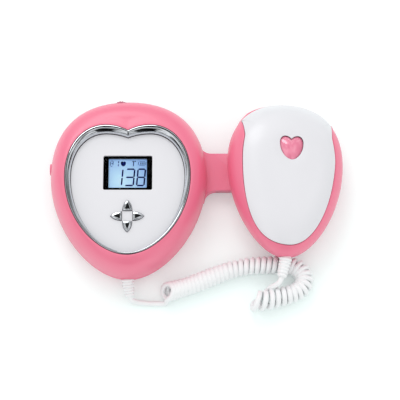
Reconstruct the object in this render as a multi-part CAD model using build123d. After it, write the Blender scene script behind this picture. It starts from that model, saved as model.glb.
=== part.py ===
from build123d import *
import math
import os

# Fetal doppler monitor: an egg-shaped main unit with a heart-shaped control panel, and an egg-shaped
# ultrasound probe that lies in a dock on an arm at its right side, tied to it by a curly cord.
#
# Frame: millimetres. +X runs across the unit towards the probe, +Y away from the user, +Z up. The origin is
# on the table, under the widest place of the main unit. Each piece of the product is one STEP file.

# ---------------------------------------------------------------- driving dimensions, main unit
MAIN_HALF_WIDTH = 46.8       # widest place of the casing
MAIN_CROWN = 47.3            # from the widest place to the round end
MAIN_TIP = 62.4              # from the widest place to the pointed end
PARTING_Z = 12.0             # seam between rear shell and front bezel
MAIN_HEIGHT = 32.0           # table to the flat crest of the front bezel
SHOULDER_SIDE = 8.5          # how far the domed rim leans in at the sides
SHOULDER_CROWN = 13.0        # ... at the round end
SHOULDER_TIP = 8.0           # ... at the pointed end
TUCK = 6.5                   # how far the underside tucks in
WALL = 2.2                   # moulded wall of the main casing
LIP_HEIGHT = 1.6             # overlap of the two shells at the seam
LIP_ROOT = 2.0               # the lip runs this far down the inside of the rear shell
LIP_WALL = 1.0
SEAM_GAP = 0.15
DOME_SECTIONS = 12           # cross-sections that a domed form is lofted through
CAP_STEPS = 3                # steps in the rounded edge of a key or button
RIDGE_WIDTH = 2.6            # soft ridge round the heart-shaped panel
RIDGE_BEVEL = 0.9
RIDGE_RISE = 0.5

# heart-shaped panel
HEART_HALF_WIDTH = 37.2
HEART_WIDEST_Y = -3.8
HEART_LOBE_X = 13.3          # top of each lobe, from the centre line
HEART_LOBE_RISE = 31.2       # widest place to top of lobe
HEART_NOTCH_RISE = 27.7
HEART_DROP = 49.2            # widest place to the rounded tip
TRIM_SIDE = 3.1              # width of the bright trim at the sides
TRIM_LOBE = 3.4
TRIM_NOTCH = 3.0
TRIM_TIP = 2.3
TRIM_LIP = 0.6               # flat lip on top of the trim
TRIM_BULGE = 0.5             # how far its inner face bulges inwards, half way down
TRIM_PROUD = 0.3             # trim above the crest of the bezel
PANEL_DEPTH = 4.0            # crest of the bezel to the face plate
PLATE_THICKNESS = 2.0
LEDGE = 2.4                  # ledge under the edge of the face plate
LEDGE_THICKNESS = 1.6
POCKET_WALL = 1.5            # wall round the heart-shaped pocket
FIT = 0.12                   # gap round pieces that are set into others

# display
WINDOW_WIDTH = 29.2
WINDOW_LENGTH = 21.4
WINDOW_Y = -1.4
WINDOW_THICKNESS = 1.2
WINDOW_CORNER = 1.0
WINDOW_LEDGE = 1.6
LCD_WIDTH = 33.0
LCD_LENGTH = 25.0
LCD_GAP = 0.4                # air between the module and the face plate
LCD_GLASS = 1.2              # thickness of the glass on the module
LCD_RIM = 1.0                # module beyond the glass, all round

# keys
KEY_CENTRE_Y = -28.4
KEY_REACH = 6.6              # key centre from the middle of the key cluster
KEY_WIDTH = 5.4
KEY_LENGTH = 6.5
KEY_PROUD = 1.4
KEY_EDGE = 0.5               # rounding of the key's upper edge
KEY_FLANGE_GAP = 0.15        # air above the flange, and between the flanges
KEY_TRAVEL = 0.7
KEY_GAP = 0.2                # key to the hole in the face plate
KEY_FLANGE = 0.8
KEY_FLANGE_THICKNESS = 0.9
MAT_SHEET = 1.2
MAT_DOME_RADIUS = 2.4
MAT_DOME_TIP = 1.4
MAT_GAP = 0.1                # dome to a key at full travel
MAT_SIZE = 23.0

# board, power and sound
BOARD_Z = 18.0
BOARD_THICKNESS = 1.6
BOARD_MARGIN = 2.0           # board edge to the inside of the casing
BOARD_TIP_MARGIN = 4.0       # ... and more at the tip, for the cord
CELL_RADIUS = 7.1
CELL_LENGTH = 50.0
CELL_GAP = 1.2
CELL_FLOOR_GAP = 0.5         # cells above the inside of the door
DOOR_THICKNESS = 1.8
DOOR_MARGIN = 2.0            # door beyond the cells, all round
DOOR_GAP = 0.25
DOOR_GRIPS = 4
DOOR_GRIP_PITCH = 1.8
DOOR_GRIP_WIDTH = 0.8
DOOR_GRIP_HALF_LENGTH = 6.0
DOOR_GRIP_DEPTH = 0.5
CELL_TERMINAL_RADIUS = 2.6
CELL_TERMINAL_HEIGHT = 0.6
CONTACT_THICKNESS = 0.5
CONTACT_SIZE = 9.0
CONTACT_BUTTON_RADIUS = 2.0
CONTACT_SPRING = (3.2, 1.8, 1.4)     # base radius, tip radius and height of a spring contact
BAY_WALL = 1.4
SPEAKER_RADIUS = 12.0
SPEAKER_HEIGHT = 6.0
SPEAKER_Y = -35.5
GRILLE_SLOTS = 5
GRILLE_PITCH = 3.6
GRILLE_SLOT_WIDTH = 1.4
GRILLE_MARGIN = 2.0          # slots stay inside the edge of the speaker
SPEAKER_BASKET_SHARE = 0.4   # share of the speaker's height that the basket takes
MAGNET_SHARE = 0.55          # magnet's radius over the basket's
POST_RADIUS = 3.1
POST_UPPER_INSET = (15.8, 23.3)                    # screw posts, from the widest place and the round end
POST_LOWER_INSET = (22.2, 25.4)                    # ... from the widest place and the tip
POST_UPPER = (MAIN_HALF_WIDTH - POST_UPPER_INSET[0], MAIN_CROWN - POST_UPPER_INSET[1])
POST_LOWER = (MAIN_HALF_WIDTH - POST_LOWER_INSET[0], POST_LOWER_INSET[1] - MAIN_TIP)
SCREW_RADIUS = 1.25
SCREW_HEAD_RADIUS = 2.3
SCREW_HEAD_HEIGHT = 1.8
SCREW_CLEARANCE = 0.15
SCREW_SINK = 0.4             # a case screw's head lies this deep in the underside
DOCK_SCREW_SINK = 0.2
DOCK_SCREW_OFFSET = 6.0      # dock screws, from the arm's middle line
SCREW_BITE = 3.5             # screw beyond the board, into the post
PILOT_BEYOND = 1.0           # pilot hole beyond the screw's tip
DOCK_PILOT_BEYOND = 0.4
DOCK_SCREW_SHORT = 1.2       # a dock screw's tip below the top of the tongue
CROSS_HALF_LENGTH = 1.3
CROSS_HALF_WIDTH = 0.25
CROSS_DEPTH = 0.8

# sockets and wheel on the rim
WHEEL_RADIUS = 4.8
WHEEL_THICKNESS = 2.6
WHEEL_X = -4.6
WHEEL_Z = 22.6
WHEEL_PROUD = 0.35
WHEEL_GAP = 0.35
WHEEL_SHAFT_RADIUS = 1.5
WHEEL_RUNNING_GAP = 0.05
KNURLS = 20
KNURL_RADIUS = 0.3
CONTROL_HALF_WIDTH = 4.5     # rotary control under the wheel
CONTROL_FRONT = 4.2          # ... from the wheel's axis towards the display
CONTROL_BACK = 1.8           # ... from the wheel's axis towards the rim
CONTROL_GAP = 0.2            # air between the control and the wheel
JACK_Y = 4.8
JACK_BORE_RADIUS = 1.8       # takes a 3.5 mm plug
JACK_LENGTH = 14.0
JACK_NOSE_RADIUS = 2.6
JACK_BODY = (11.0, 8.0, 6.0)
JACK_COLLAR_RADIUS = 3.5
JACK_COLLAR_PROUD = 0.4
JACK_FACE_BACK = 0.5         # the jack's nose stops short of the collar's face
JACK_BODY_OVERLAP = 2.0      # the nose runs into the jack's body

# ---------------------------------------------------------------- driving dimensions, probe and its dock
PROBE_X = 93.9               # probe centre in the dock
PROBE_Y = 7.4
PROBE_Z = 17.8               # its widest plane above the table
PROBE_LEAN = 8.5             # the dock leans the probe away from the main unit
PROBE_HALF_WIDTH = 34.9
PROBE_CROWN = 36.4
PROBE_TIP = 58.2
PROBE_DOME = 18.0            # widest plane to the top of the cover
PROBE_BELLY = 12.0           # widest plane to the flat underside
PROBE_SHOULDER = 30.0        # how far the dome leans in at the sides and the round end
PROBE_SHOULDER_TIP = 52.0    # ... at the pointed end
PROBE_TUCK = 13.0
PROBE_WALL = 2.0
PROBE_FULLNESS = 2.45        # 2 is an ellipse in section, more is boxier
COVER_HALF_WIDTH = 27.9
COVER_TIP = 53.2
COVER_NECK = 26.3            # half width where the seam kinks
COVER_NECK_Y = 13.2
COVER_FLARE = 29.1           # half width where the seam leaves the casing
COVER_SEAM_Z = -1.0          # the cover ends here round the top end
BUTTON_HALF_WIDTH = 6.9
BUTTON_X = 0.8               # the button sits a little off the probe's centre line
BUTTON_Y = 4.9
BUTTON_LOBE_X = 3.7
BUTTON_LOBE_RISE = 4.0
BUTTON_NOTCH_RISE = 2.3
BUTTON_DROP = 10.4
BUTTON_PROUD = 0.1           # above the crest of the probe, which the dimple takes away
BUTTON_GAP = 0.25
BUTTON_TRAVEL = 0.8
BUTTON_FLANGE = 1.2
BUTTON_EDGE = 0.7            # rounding of the button's edge
BUTTON_FLANGE_THICKNESS = 1.2
BUTTON_FLANGE_DROP = 0.75    # underside of the cover to the top of the flange
BUTTON_STEM_RADIUS = 2.2
BUTTON_RISE = 2.8            # the widest place of the heart, beyond BUTTON_Y
DIMPLE_RADIUS = 70.0         # shallow finger dimple round the button
DIMPLE_DEPTH = 0.9
LENS_RADIUS = 17.0
LENS_RIM = 1.2               # rim that rests on the inside of the shell
LENS_RIM_THICKNESS = 1.2
LENS_Y = -2.0
CRYSTAL_RADIUS = 13.0
CRYSTAL_THICKNESS = 1.2
CRYSTAL_SLOT = 1.0
BACKING_HEIGHT = 7.0
PROBE_BOARD_Z = 3.0
PROBE_BOARD = (34.0, 46.0, 1.4)
PROBE_POST = (13.0, 19.0)    # half spacing of the four posts, across and along
PROBE_POST_RADIUS = 2.6
PROBE_SCREW_RADIUS = 0.9
PROBE_SCREW_HEAD = 1.9
PROBE_SCREW_HEAD_HEIGHT = 1.3
PROBE_SCREW_REACH = 6.0
SWITCH_SIZE = 6.2
SWITCH_HEIGHT = 4.0
SWITCH_PLUNGER = 0.8         # plunger above the switch's body
SWITCH_GAP = 0.15            # plunger to the button's stem, beyond the travel
PLUNGER_RADIUS = 1.7

DOCK_GAP = 0.35              # probe to the dock
DOCK_WALL = 2.0
DISH_HALF_WIDTH = 29.0       # the dish under the probe, clear of the cord at its tip
DISH_CROWN = 31.0
DISH_TIP = 41.0
FOOT_HALF_WIDTH = 21.0
FOOT_CROWN = 24.0
FOOT_TIP = 31.0
ARM_WIDTH = 23.4
ARM_Y = 5.6
ARM_BOTTOM = 4.0
ARM_TOP = 9.0
ARM_FLARE = 7.0              # radius of the flare where the arm meets the casing
TONGUE_LENGTH = 9.0
TONGUE_GAP = 0.2

# ---------------------------------------------------------------- driving dimensions, cord
WIRE = 3.2                   # thickness of the cord
COIL = 11.4                  # outer diameter of the curly stretch
RELIEF_START = 3.9           # radius of a strain relief at the casing
RELIEF_END = 2.9
RELIEF_RINGS = 5
RELIEF_FLANGE = 1.2
RELIEF_NECK = 3.0            # radius of the neck in the casing wall
RELIEF_DEPTH = 4.2           # from the start of the rings to the inner face of the flange
RELIEF_GRIP = 2.0
RELIEF_GROOVE = 0.5          # depth of the grooves between the rings
RELIEF_FLANGE_RIM = 0.4      # flange beyond the first ring
RELIEF_RING_SHARE = 0.6      # a ring's width over the pitch
MAIN_RELIEF_LENGTH = 10.5
PROBE_RELIEF_LENGTH = 11.5

# route of the lead at the main unit, from the tip of its strain relief to the side of the coil
MAIN_LEAD = [(1.2, -71.0, 4.7), (1.55, -73.8, 3.55), (3.7, -75.9, 2.55), (7.6, -76.4, 1.9),
             (13.0, -76.0, 1.7), (19.0, -75.5, 1.7), (24.1, -72.5, 2.5)]
# centre line of the coil as it lies on the table
COIL_ROUTE = [(20.6, -70.2, 6.2), (35.0, -65.0, 5.9), (50.0, -59.4, 5.8), (64.0, -54.6, 5.8),
              (77.5, -52.2, 5.8), (89.0, -52.0, 5.9), (96.5, -52.6, 5.8), (102.0, -54.6, 5.9),
              (105.0, -58.8, 5.8), (104.8, -64.0, 5.9), (101.5, -68.2, 5.8), (95.4, -70.6, 5.9),
              (85.1, -73.4, 5.9), (74.5, -75.9, 6.1)]
# route of the lead at the probe, from the tip of its strain relief to the side of the coil
PROBE_LEAD = [(91.1, -61.9, 14.6), (90.55, -64.3, 14.2), (88.4, -66.1, 13.1), (84.5, -68.9, 10.9),
              (80.9, -71.5, 8.5)]


# ---------------------------------------------------------------- outlines and casings
def egg(half_width, crown, tip, z=0.0, y=0.0):
    """An egg-shaped face: rounder towards +Y, narrower towards -Y, widest at y."""
    crown_handle, crown_side = 0.65, 0.62
    tip_handle, tip_side = 0.47, 0.50
    right = (half_width, y, z)
    top = (0, y + crown, z)
    left = (-half_width, y, z)
    bottom = (0, y - tip, z)
    quarters = [
        Bezier(right, (half_width, y + crown_side * crown, z), (crown_handle * half_width, y + crown, z), top),
        Bezier(top, (-crown_handle * half_width, y + crown, z), (-half_width, y + crown_side * crown, z), left),
        Bezier(left, (-half_width, y - tip_side * tip, z), (-tip_handle * half_width, y - tip, z), bottom),
        Bezier(bottom, (tip_handle * half_width, y - tip, z), (half_width, y - tip_side * tip, z), right),
    ]
    return Face(Wire(quarters))


def heart(half_width, lobe_x, lobe_rise, notch_rise, drop, y=0.0, z=0.0):
    """A heart-shaped face with two lobes towards +Y, a notch between them and a rounded tip towards -Y."""
    side, belly, point = 0.58, 0.60, 0.42
    right = [
        ((0, notch_rise), (0.30 * lobe_x, notch_rise + 0.62 * (lobe_rise - notch_rise)),
         (0.62 * lobe_x, lobe_rise), (lobe_x, lobe_rise)),
        ((lobe_x, lobe_rise), (lobe_x + side * (half_width - lobe_x), lobe_rise),
         (half_width, side * lobe_rise), (half_width, 0)),
        ((half_width, 0), (half_width, -belly * drop), (point * half_width, -drop), (0, -drop)),
    ]
    curves = [Bezier(*[(px, y + py, z) for px, py in curve]) for curve in right]
    curves += [Bezier(*[(-px, y + py, z) for px, py in reversed(curve)]) for curve in reversed(right)]
    return Face(Wire(curves))


def prism(face, z_from, z_to):
    """The face, drawn at height 0, extruded from one height to another."""
    return Pos(0, 0, z_from) * extrude(face, amount=z_to - z_from, dir=(0, 0, 1))


def domed(half_width, crown, tip, lean_side, lean_crown, lean_tip, z, rise, fullness=2.0, crest_y=0.0):
    """A solid from an egg outline at height z that leans in as it goes up (or down, for a negative rise)."""
    slices = []
    for i in range(DOME_SECTIONS):
        angle = math.radians(90 * i / (DOME_SECTIONS - 1))
        lean = 1 - abs(math.cos(angle)) ** (2 / fullness)
        up = math.sin(angle) ** (2 / fullness)
        slices.append(egg(half_width - lean_side * lean, crown - lean_crown * lean - crest_y * lean,
                          tip - lean_tip * lean + crest_y * lean, z + rise * up, crest_y * lean))
    return loft(slices)


def capped(outline, z_from, z_to, edge):
    """A cap with a rounded upper edge: the outline, a function of its growth, steps in towards the top."""
    cap = prism(outline(0), z_from, z_to - edge)
    slices = []
    for i in range(CAP_STEPS + 1):
        angle = math.radians(90 * i / CAP_STEPS)
        slices.append(Pos(0, 0, z_to - edge + edge * math.sin(angle)) * outline(-edge * (1 - math.cos(angle))))
    return cap + loft(slices, ruled=True)


def cylinder(radius, z_from, z_to, x=0.0, y=0.0):
    return Pos(x, y, (z_from + z_to) / 2) * Cylinder(radius, z_to - z_from)


def block(x_from, x_to, y_from, y_to, z_from, z_to):
    return Pos((x_from + x_to) / 2, (y_from + y_to) / 2, (z_from + z_to) / 2) * Box(
        x_to - x_from, y_to - y_from, z_to - z_from)


def mirrored(points):
    """Each place (x, y) at both sides of the centre line."""
    return [(side * x, y) for x, y in points for side in (1, -1)]


# ---------------------------------------------------------------- shared heights and places
CREST_Z = MAIN_HEIGHT
PLATE_TOP = CREST_Z - PANEL_DEPTH
PLATE_BOTTOM = PLATE_TOP - PLATE_THICKNESS
LEDGE_BOTTOM = PLATE_BOTTOM - LEDGE_THICKNESS
BOARD_TOP = BOARD_Z + BOARD_THICKNESS
MAIN_POSTS = mirrored([POST_UPPER, POST_LOWER])
CELL_Z = DOOR_THICKNESS + CELL_FLOOR_GAP + CELL_RADIUS
CELL_Y = CELL_RADIUS + CELL_GAP / 2
BAY_X = CELL_LENGTH / 2 + DOOR_MARGIN
BAY_Y = 2 * CELL_RADIUS + CELL_GAP / 2 + DOOR_MARGIN
JACK_Z = BOARD_Z - JACK_BODY[2] / 2
JACK_FACE_X = -MAIN_HALF_WIDTH - JACK_COLLAR_PROUD
ARM_LOW_Y = ARM_Y - ARM_WIDTH / 2
ARM_HIGH_Y = ARM_Y + ARM_WIDTH / 2
TONGUE_X = MAIN_HALF_WIDTH - WALL - TONGUE_LENGTH
DOCK_SCREW_X = TONGUE_X + TONGUE_LENGTH / 2
DOCK_SCREWS = [(DOCK_SCREW_X, ARM_Y - DOCK_SCREW_OFFSET), (DOCK_SCREW_X, ARM_Y + DOCK_SCREW_OFFSET)]
PROBE_PLACE = Location((PROBE_X, PROBE_Y, PROBE_Z), (0, PROBE_LEAN, 0))
PROBE_POSTS = mirrored([PROBE_POST]) + mirrored([(PROBE_POST[0], -PROBE_POST[1])])


def rear_hull(grow=0.0):
    """The outer form of the underside, or of a layer inside it for a negative grow."""
    return domed(MAIN_HALF_WIDTH + grow, MAIN_CROWN + grow, MAIN_TIP + grow, TUCK, TUCK, TUCK,
                 PARTING_Z, -(PARTING_Z + grow))


def front_hull(grow=0.0):
    """The outer form of the domed front, or of a layer inside it for a negative grow."""
    return domed(MAIN_HALF_WIDTH + grow, MAIN_CROWN + grow, MAIN_TIP + grow, SHOULDER_SIDE, SHOULDER_CROWN,
                 SHOULDER_TIP, PARTING_Z, CREST_Z - RIDGE_RISE - PARTING_Z + grow)


def main_egg(grow=0.0):
    return egg(MAIN_HALF_WIDTH + grow, MAIN_CROWN + grow, MAIN_TIP + grow)


def panel_heart(grow=0.0):
    return heart(HEART_HALF_WIDTH + grow, HEART_LOBE_X, HEART_LOBE_RISE + grow, HEART_NOTCH_RISE + grow,
                 HEART_DROP + grow, HEART_WIDEST_Y)


def key_outline(grow=0.0):
    """A key: flat towards the middle of the cluster, rounded to a point outwards. Drawn pointing to +Y."""
    half, back, point = KEY_WIDTH / 2 + grow, -KEY_LENGTH / 2 - grow, KEY_LENGTH / 2 + grow
    length = point - back
    side = [(half, back), (half, back + 0.6 * length), (0.34 * half, point - 0.12 * length), (0, point)]
    curves = [Line((-half, back), (half, back)), Bezier(*side), Bezier(*[(-x, y) for x, y in reversed(side)])]
    return Face(Wire(curves))


def key_place(turn):
    """The place of a key that points away from the middle of the cluster, turned from +Y."""
    return Location((0, KEY_CENTRE_Y, 0), (0, 0, turn)) * Location((0, KEY_REACH, 0))


KEYS = {"key_up": 0, "key_left": 90, "key_down": 180, "key_right": 270}


# ---------------------------------------------------------------- main unit
def relief_plane(lead, length):
    """Where a strain relief starts, pointing along the first run of its lead."""
    tip = Vector(*lead[0])
    way = (Vector(*lead[1]) - tip).normalized()
    return Plane(origin=tip - way * length, z_dir=way)


def relief(lead, length, casing):
    """A tapered, ringed strain relief: rings outside the casing, a neck through its wall, a flange inside."""
    plane = relief_plane(lead, length)
    core = Cone(RELIEF_START - RELIEF_GROOVE, RELIEF_END - RELIEF_GROOVE / 2, length + 2)
    outside = Pos(0, 0, length / 2 - 1) * core
    ring_pitch = length / RELIEF_RINGS
    for i in range(RELIEF_RINGS):
        share = (i + 0.5) / RELIEF_RINGS
        radius = RELIEF_START + (RELIEF_END - RELIEF_START) * share
        outside += Pos(0, 0, ring_pitch * (i + 0.35)) * Cylinder(radius, ring_pitch * RELIEF_RING_SHARE)
    outside &= Pos(0, 0, length / 2 - 5) * Cylinder(RELIEF_START + 1, length + 10)
    neck = Pos(0, 0, (RELIEF_GRIP - RELIEF_DEPTH) / 2) * Cylinder(RELIEF_NECK, RELIEF_GRIP + RELIEF_DEPTH)
    flange = cylinder(RELIEF_START + RELIEF_FLANGE_RIM, -RELIEF_DEPTH, RELIEF_FLANGE - RELIEF_DEPTH)
    return (plane.location * outside - casing) + plane.location * (neck + flange)


def relief_hole(lead, length):
    """The room that a strain relief's neck and flange take in the casing."""
    neck = cylinder(RELIEF_NECK + FIT, -2 * RELIEF_DEPTH, length)
    flange_room = cylinder(RELIEF_START + RELIEF_FLANGE_RIM + FIT, -RELIEF_DEPTH - FIT,
                           RELIEF_FLANGE - RELIEF_DEPTH + FIT)
    return relief_plane(lead, length).location * (neck + flange_room)


def jack_room():
    """The hole for the nose of the headphone socket."""
    return along_jack(JACK_NOSE_RADIUS + FIT, JACK_FACE_X - 1, JACK_FACE_X + JACK_LENGTH)


def make_rear_shell():
    shell = rear_hull() - rear_hull(-WALL)
    lip = prism(main_egg(-WALL + LIP_WALL), PARTING_Z - LIP_ROOT, PARTING_Z + LIP_HEIGHT)
    lip -= prism(main_egg(-WALL), PARTING_Z - LIP_ROOT - 1, PARTING_Z + LIP_HEIGHT + 1)
    shell += lip
    inside = rear_hull(-WALL / 2) + prism(main_egg(-WALL / 2), PARTING_Z, BOARD_Z)
    posts = Part() + [cylinder(POST_RADIUS, WALL / 2, BOARD_Z, x, y) for x, y in MAIN_POSTS]
    bay = block(-BAY_X - BAY_WALL, BAY_X + BAY_WALL, -BAY_Y - BAY_WALL, BAY_Y + BAY_WALL, WALL / 2, CELL_Z)
    pads = Part() + [cylinder(POST_RADIUS, WALL / 2, ARM_BOTTOM, x, y) for x, y in DOCK_SCREWS]
    shell += (posts + bay + pads) & inside
    shell -= block(-BAY_X, BAY_X, -BAY_Y, BAY_Y, -1, CELL_Z + 1)
    for x, y in MAIN_POSTS:
        shell -= cylinder(SCREW_RADIUS + SCREW_CLEARANCE, -1, BOARD_Z + 1, x, y)
        shell -= cylinder(SCREW_HEAD_RADIUS + SCREW_CLEARANCE, -1, SCREW_HEAD_HEIGHT + SCREW_SINK, x, y)
    for x, y in DOCK_SCREWS:
        shell -= cylinder(SCREW_RADIUS + SCREW_CLEARANCE, -1, ARM_BOTTOM + 1, x, y)
        shell -= cylinder(SCREW_HEAD_RADIUS + SCREW_CLEARANCE, -1, SCREW_HEAD_HEIGHT + DOCK_SCREW_SINK, x, y)
    shell -= block(TONGUE_X + 1, MAIN_HALF_WIDTH + 2, ARM_LOW_Y - TONGUE_GAP, ARM_HIGH_Y + TONGUE_GAP,
                   ARM_BOTTOM, ARM_TOP + TONGUE_GAP)
    shell -= relief_hole(MAIN_LEAD, MAIN_RELIEF_LENGTH)
    shell -= jack_room()
    for i in range(GRILLE_SLOTS):
        x = (i - (GRILLE_SLOTS - 1) / 2) * GRILLE_PITCH
        reach = math.sqrt((SPEAKER_RADIUS - GRILLE_MARGIN) ** 2 - x ** 2)
        slot = Pos(x, SPEAKER_Y, 0) * SlotOverall(2 * reach, GRILLE_SLOT_WIDTH, rotation=90)
        shell -= prism(slot, -1, WALL + 0.5)
    return shell


def make_front_bezel():
    shell = front_hull() - front_hull(-WALL)
    shell += prism(panel_heart(POCKET_WALL), LEDGE_BOTTOM, CREST_Z - WALL / 2) & front_hull(-WALL / 2)
    posts = Part() + [cylinder(POST_RADIUS, BOARD_TOP, CREST_Z - WALL / 2, x, y) for x, y in MAIN_POSTS]
    shell += posts & front_hull(-WALL / 2)
    foot, top = panel_heart(RIDGE_WIDTH), panel_heart(RIDGE_WIDTH - RIDGE_BEVEL)
    shell += loft([Pos(0, 0, CREST_Z - 2 * RIDGE_RISE) * foot, Pos(0, 0, CREST_Z) * top], ruled=True)
    shell -= prism(panel_heart(), PLATE_BOTTOM, CREST_Z + 2)
    shell -= prism(panel_heart(-LEDGE), LEDGE_BOTTOM - 1, PLATE_BOTTOM + 1)
    shell -= prism(main_egg(-WALL + LIP_WALL + SEAM_GAP), PARTING_Z - 1, PARTING_Z + LIP_HEIGHT + SEAM_GAP)
    for x, y in MAIN_POSTS:
        shell -= cylinder(SCREW_RADIUS + SCREW_CLEARANCE / 3, BOARD_TOP - 1,
                          BOARD_TOP + SCREW_BITE + SCREW_SINK + PILOT_BEYOND, x, y)
    collar = along_jack(JACK_COLLAR_RADIUS, JACK_FACE_X, JACK_FACE_X + WALL + 2 * JACK_COLLAR_PROUD)
    collar -= prism(main_egg(-WALL / 2), PARTING_Z - JACK_COLLAR_RADIUS, CREST_Z)
    above_seam = block(JACK_FACE_X - 1, 0, JACK_Y - 2 * JACK_COLLAR_RADIUS, JACK_Y + 2 * JACK_COLLAR_RADIUS,
                       PARTING_Z, CREST_Z)
    shell += collar & above_seam
    shell -= jack_room()
    shell -= wheel_blank(WHEEL_GAP)
    return shell


def wheel_centre_y():
    """The wheel stands out of the round end of the rim by its proud height."""
    up = (WHEEL_Z - PARTING_Z) / (CREST_Z - RIDGE_RISE - PARTING_Z)
    lean = SHOULDER_CROWN * (1 - math.sqrt(1 - up ** 2))
    return MAIN_CROWN - lean + WHEEL_PROUD - WHEEL_RADIUS


def wheel_blank(grow=0.0):
    half = WHEEL_THICKNESS / 2 + grow
    return cylinder(WHEEL_RADIUS + grow, WHEEL_Z - half, WHEEL_Z + half, WHEEL_X, wheel_centre_y())


def make_volume_wheel():
    wheel = wheel_blank()
    low, high = WHEEL_Z - WHEEL_THICKNESS, WHEEL_Z + WHEEL_THICKNESS
    for i in range(KNURLS):
        angle = math.radians(360 * i / KNURLS)
        x = WHEEL_X + WHEEL_RADIUS * math.cos(angle)
        y = wheel_centre_y() + WHEEL_RADIUS * math.sin(angle)
        wheel -= cylinder(KNURL_RADIUS, low, high, x, y)
    wheel -= cylinder(WHEEL_SHAFT_RADIUS + WHEEL_RUNNING_GAP, low, high, WHEEL_X, wheel_centre_y())
    return wheel


def make_volume_control():
    """The rotary control under the wheel, with its shaft."""
    y = wheel_centre_y()
    underside = WHEEL_Z - WHEEL_THICKNESS / 2 - CONTROL_GAP
    body = block(WHEEL_X - CONTROL_HALF_WIDTH, WHEEL_X + CONTROL_HALF_WIDTH, y - CONTROL_FRONT,
                 y + CONTROL_BACK, BOARD_TOP, underside)
    return body + cylinder(WHEEL_SHAFT_RADIUS, BOARD_TOP, WHEEL_Z + WHEEL_THICKNESS / 2, WHEEL_X, y)


def along_jack(radius, x_from, x_to):
    """A cylinder on the axis of the headphone socket."""
    return Pos((x_from + x_to) / 2, JACK_Y, JACK_Z) * Rot(0, 90, 0) * Cylinder(radius, x_to - x_from)


def make_headphone_jack():
    length, width, height = JACK_BODY
    face = JACK_FACE_X + JACK_FACE_BACK
    body_end = face + JACK_LENGTH + JACK_BODY_OVERLAP / 2
    jack = block(body_end - length, body_end, JACK_Y - width / 2, JACK_Y + width / 2,
                 JACK_Z - height / 2, BOARD_Z)
    jack += along_jack(JACK_NOSE_RADIUS, face, body_end - length + JACK_BODY_OVERLAP)
    jack -= along_jack(JACK_BORE_RADIUS, face - 1, face + JACK_LENGTH)
    return jack


def make_heart_trim():
    """The bright frame: its inner face falls from the lip down to the face plate."""
    outer = prism(panel_heart(-FIT), PLATE_TOP, CREST_Z + TRIM_PROUD)
    sections = []
    lip = TRIM_LIP + FIT
    for share, bulge in ((0, 0), (0.5, TRIM_BULGE), (1, 0)):
        side, lobe, notch, tip = [width + (lip - width) * share + bulge * width / TRIM_SIDE
                                  for width in (TRIM_SIDE, TRIM_LOBE, TRIM_NOTCH, TRIM_TIP)]
        z = PLATE_TOP + (CREST_Z + TRIM_PROUD - PLATE_TOP) * share
        sections.append(heart(HEART_HALF_WIDTH - side, HEART_LOBE_X, HEART_LOBE_RISE - lobe,
                              HEART_NOTCH_RISE - notch, HEART_DROP - tip, HEART_WIDEST_Y, z))
    return outer - loft(sections)


def make_face_plate():
    plate = prism(panel_heart(-FIT), PLATE_BOTTOM, PLATE_TOP)
    opening = Pos(0, WINDOW_Y) * RectangleRounded(WINDOW_WIDTH, WINDOW_LENGTH, WINDOW_CORNER)
    plate -= prism(opening, PLATE_TOP - WINDOW_THICKNESS, PLATE_TOP + 1)
    through = Pos(0, WINDOW_Y) * Rectangle(WINDOW_WIDTH - 2 * WINDOW_LEDGE, WINDOW_LENGTH - 2 * WINDOW_LEDGE)
    plate -= prism(through, PLATE_BOTTOM - 1, PLATE_TOP)
    for turn in KEYS.values():
        plate -= key_place(turn) * prism(key_outline(KEY_GAP), PLATE_BOTTOM - 1, PLATE_TOP + 1)
    return plate


def make_display_window():
    pane = Pos(0, WINDOW_Y) * RectangleRounded(WINDOW_WIDTH - 2 * FIT, WINDOW_LENGTH - 2 * FIT, WINDOW_CORNER)
    return prism(pane, PLATE_TOP - WINDOW_THICKNESS, PLATE_TOP)


def make_lcd_module():
    top = PLATE_BOTTOM - LCD_GAP
    half_w, half_l = LCD_WIDTH / 2, LCD_LENGTH / 2
    frame = block(-half_w, half_w, WINDOW_Y - half_l, WINDOW_Y + half_l, BOARD_TOP, top - LCD_GLASS)
    glass = block(LCD_RIM - half_w, half_w - LCD_RIM, WINDOW_Y - half_l + LCD_RIM, WINDOW_Y + half_l - LCD_RIM,
                  top - LCD_GLASS, top)
    return frame + glass


def make_key(turn):
    flange_top = PLATE_BOTTOM - KEY_FLANGE_GAP
    cap = capped(key_outline, flange_top - KEY_FLANGE_THICKNESS / 2, PLATE_TOP + KEY_PROUD, KEY_EDGE)
    flange = prism(key_outline(KEY_FLANGE), flange_top - KEY_FLANGE_THICKNESS, flange_top)
    flange_back = KEY_WIDTH / 2 + KEY_FLANGE + KEY_FLANGE_GAP - KEY_REACH
    flange &= block(-KEY_WIDTH, KEY_WIDTH, flange_back, KEY_LENGTH, 0, PLATE_TOP)
    return key_place(turn) * (cap + flange)


def make_key_mat():
    """One soft mat with a dome under each key; a key comes down onto its dome at full travel."""
    half = MAT_SIZE / 2
    mat = block(-half, half, KEY_CENTRE_Y - half, KEY_CENTRE_Y + half, BOARD_TOP, BOARD_TOP + MAT_SHEET)
    dome_top = PLATE_BOTTOM - KEY_FLANGE_GAP - KEY_FLANGE_THICKNESS - KEY_TRAVEL - MAT_GAP
    for turn in KEYS.values():
        rise = dome_top - BOARD_TOP - MAT_SHEET
        dome = Pos(0, 0, BOARD_TOP + MAT_SHEET + rise / 2) * Cone(MAT_DOME_RADIUS, MAT_DOME_TIP, rise)
        mat += key_place(turn) * dome
    return mat


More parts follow.
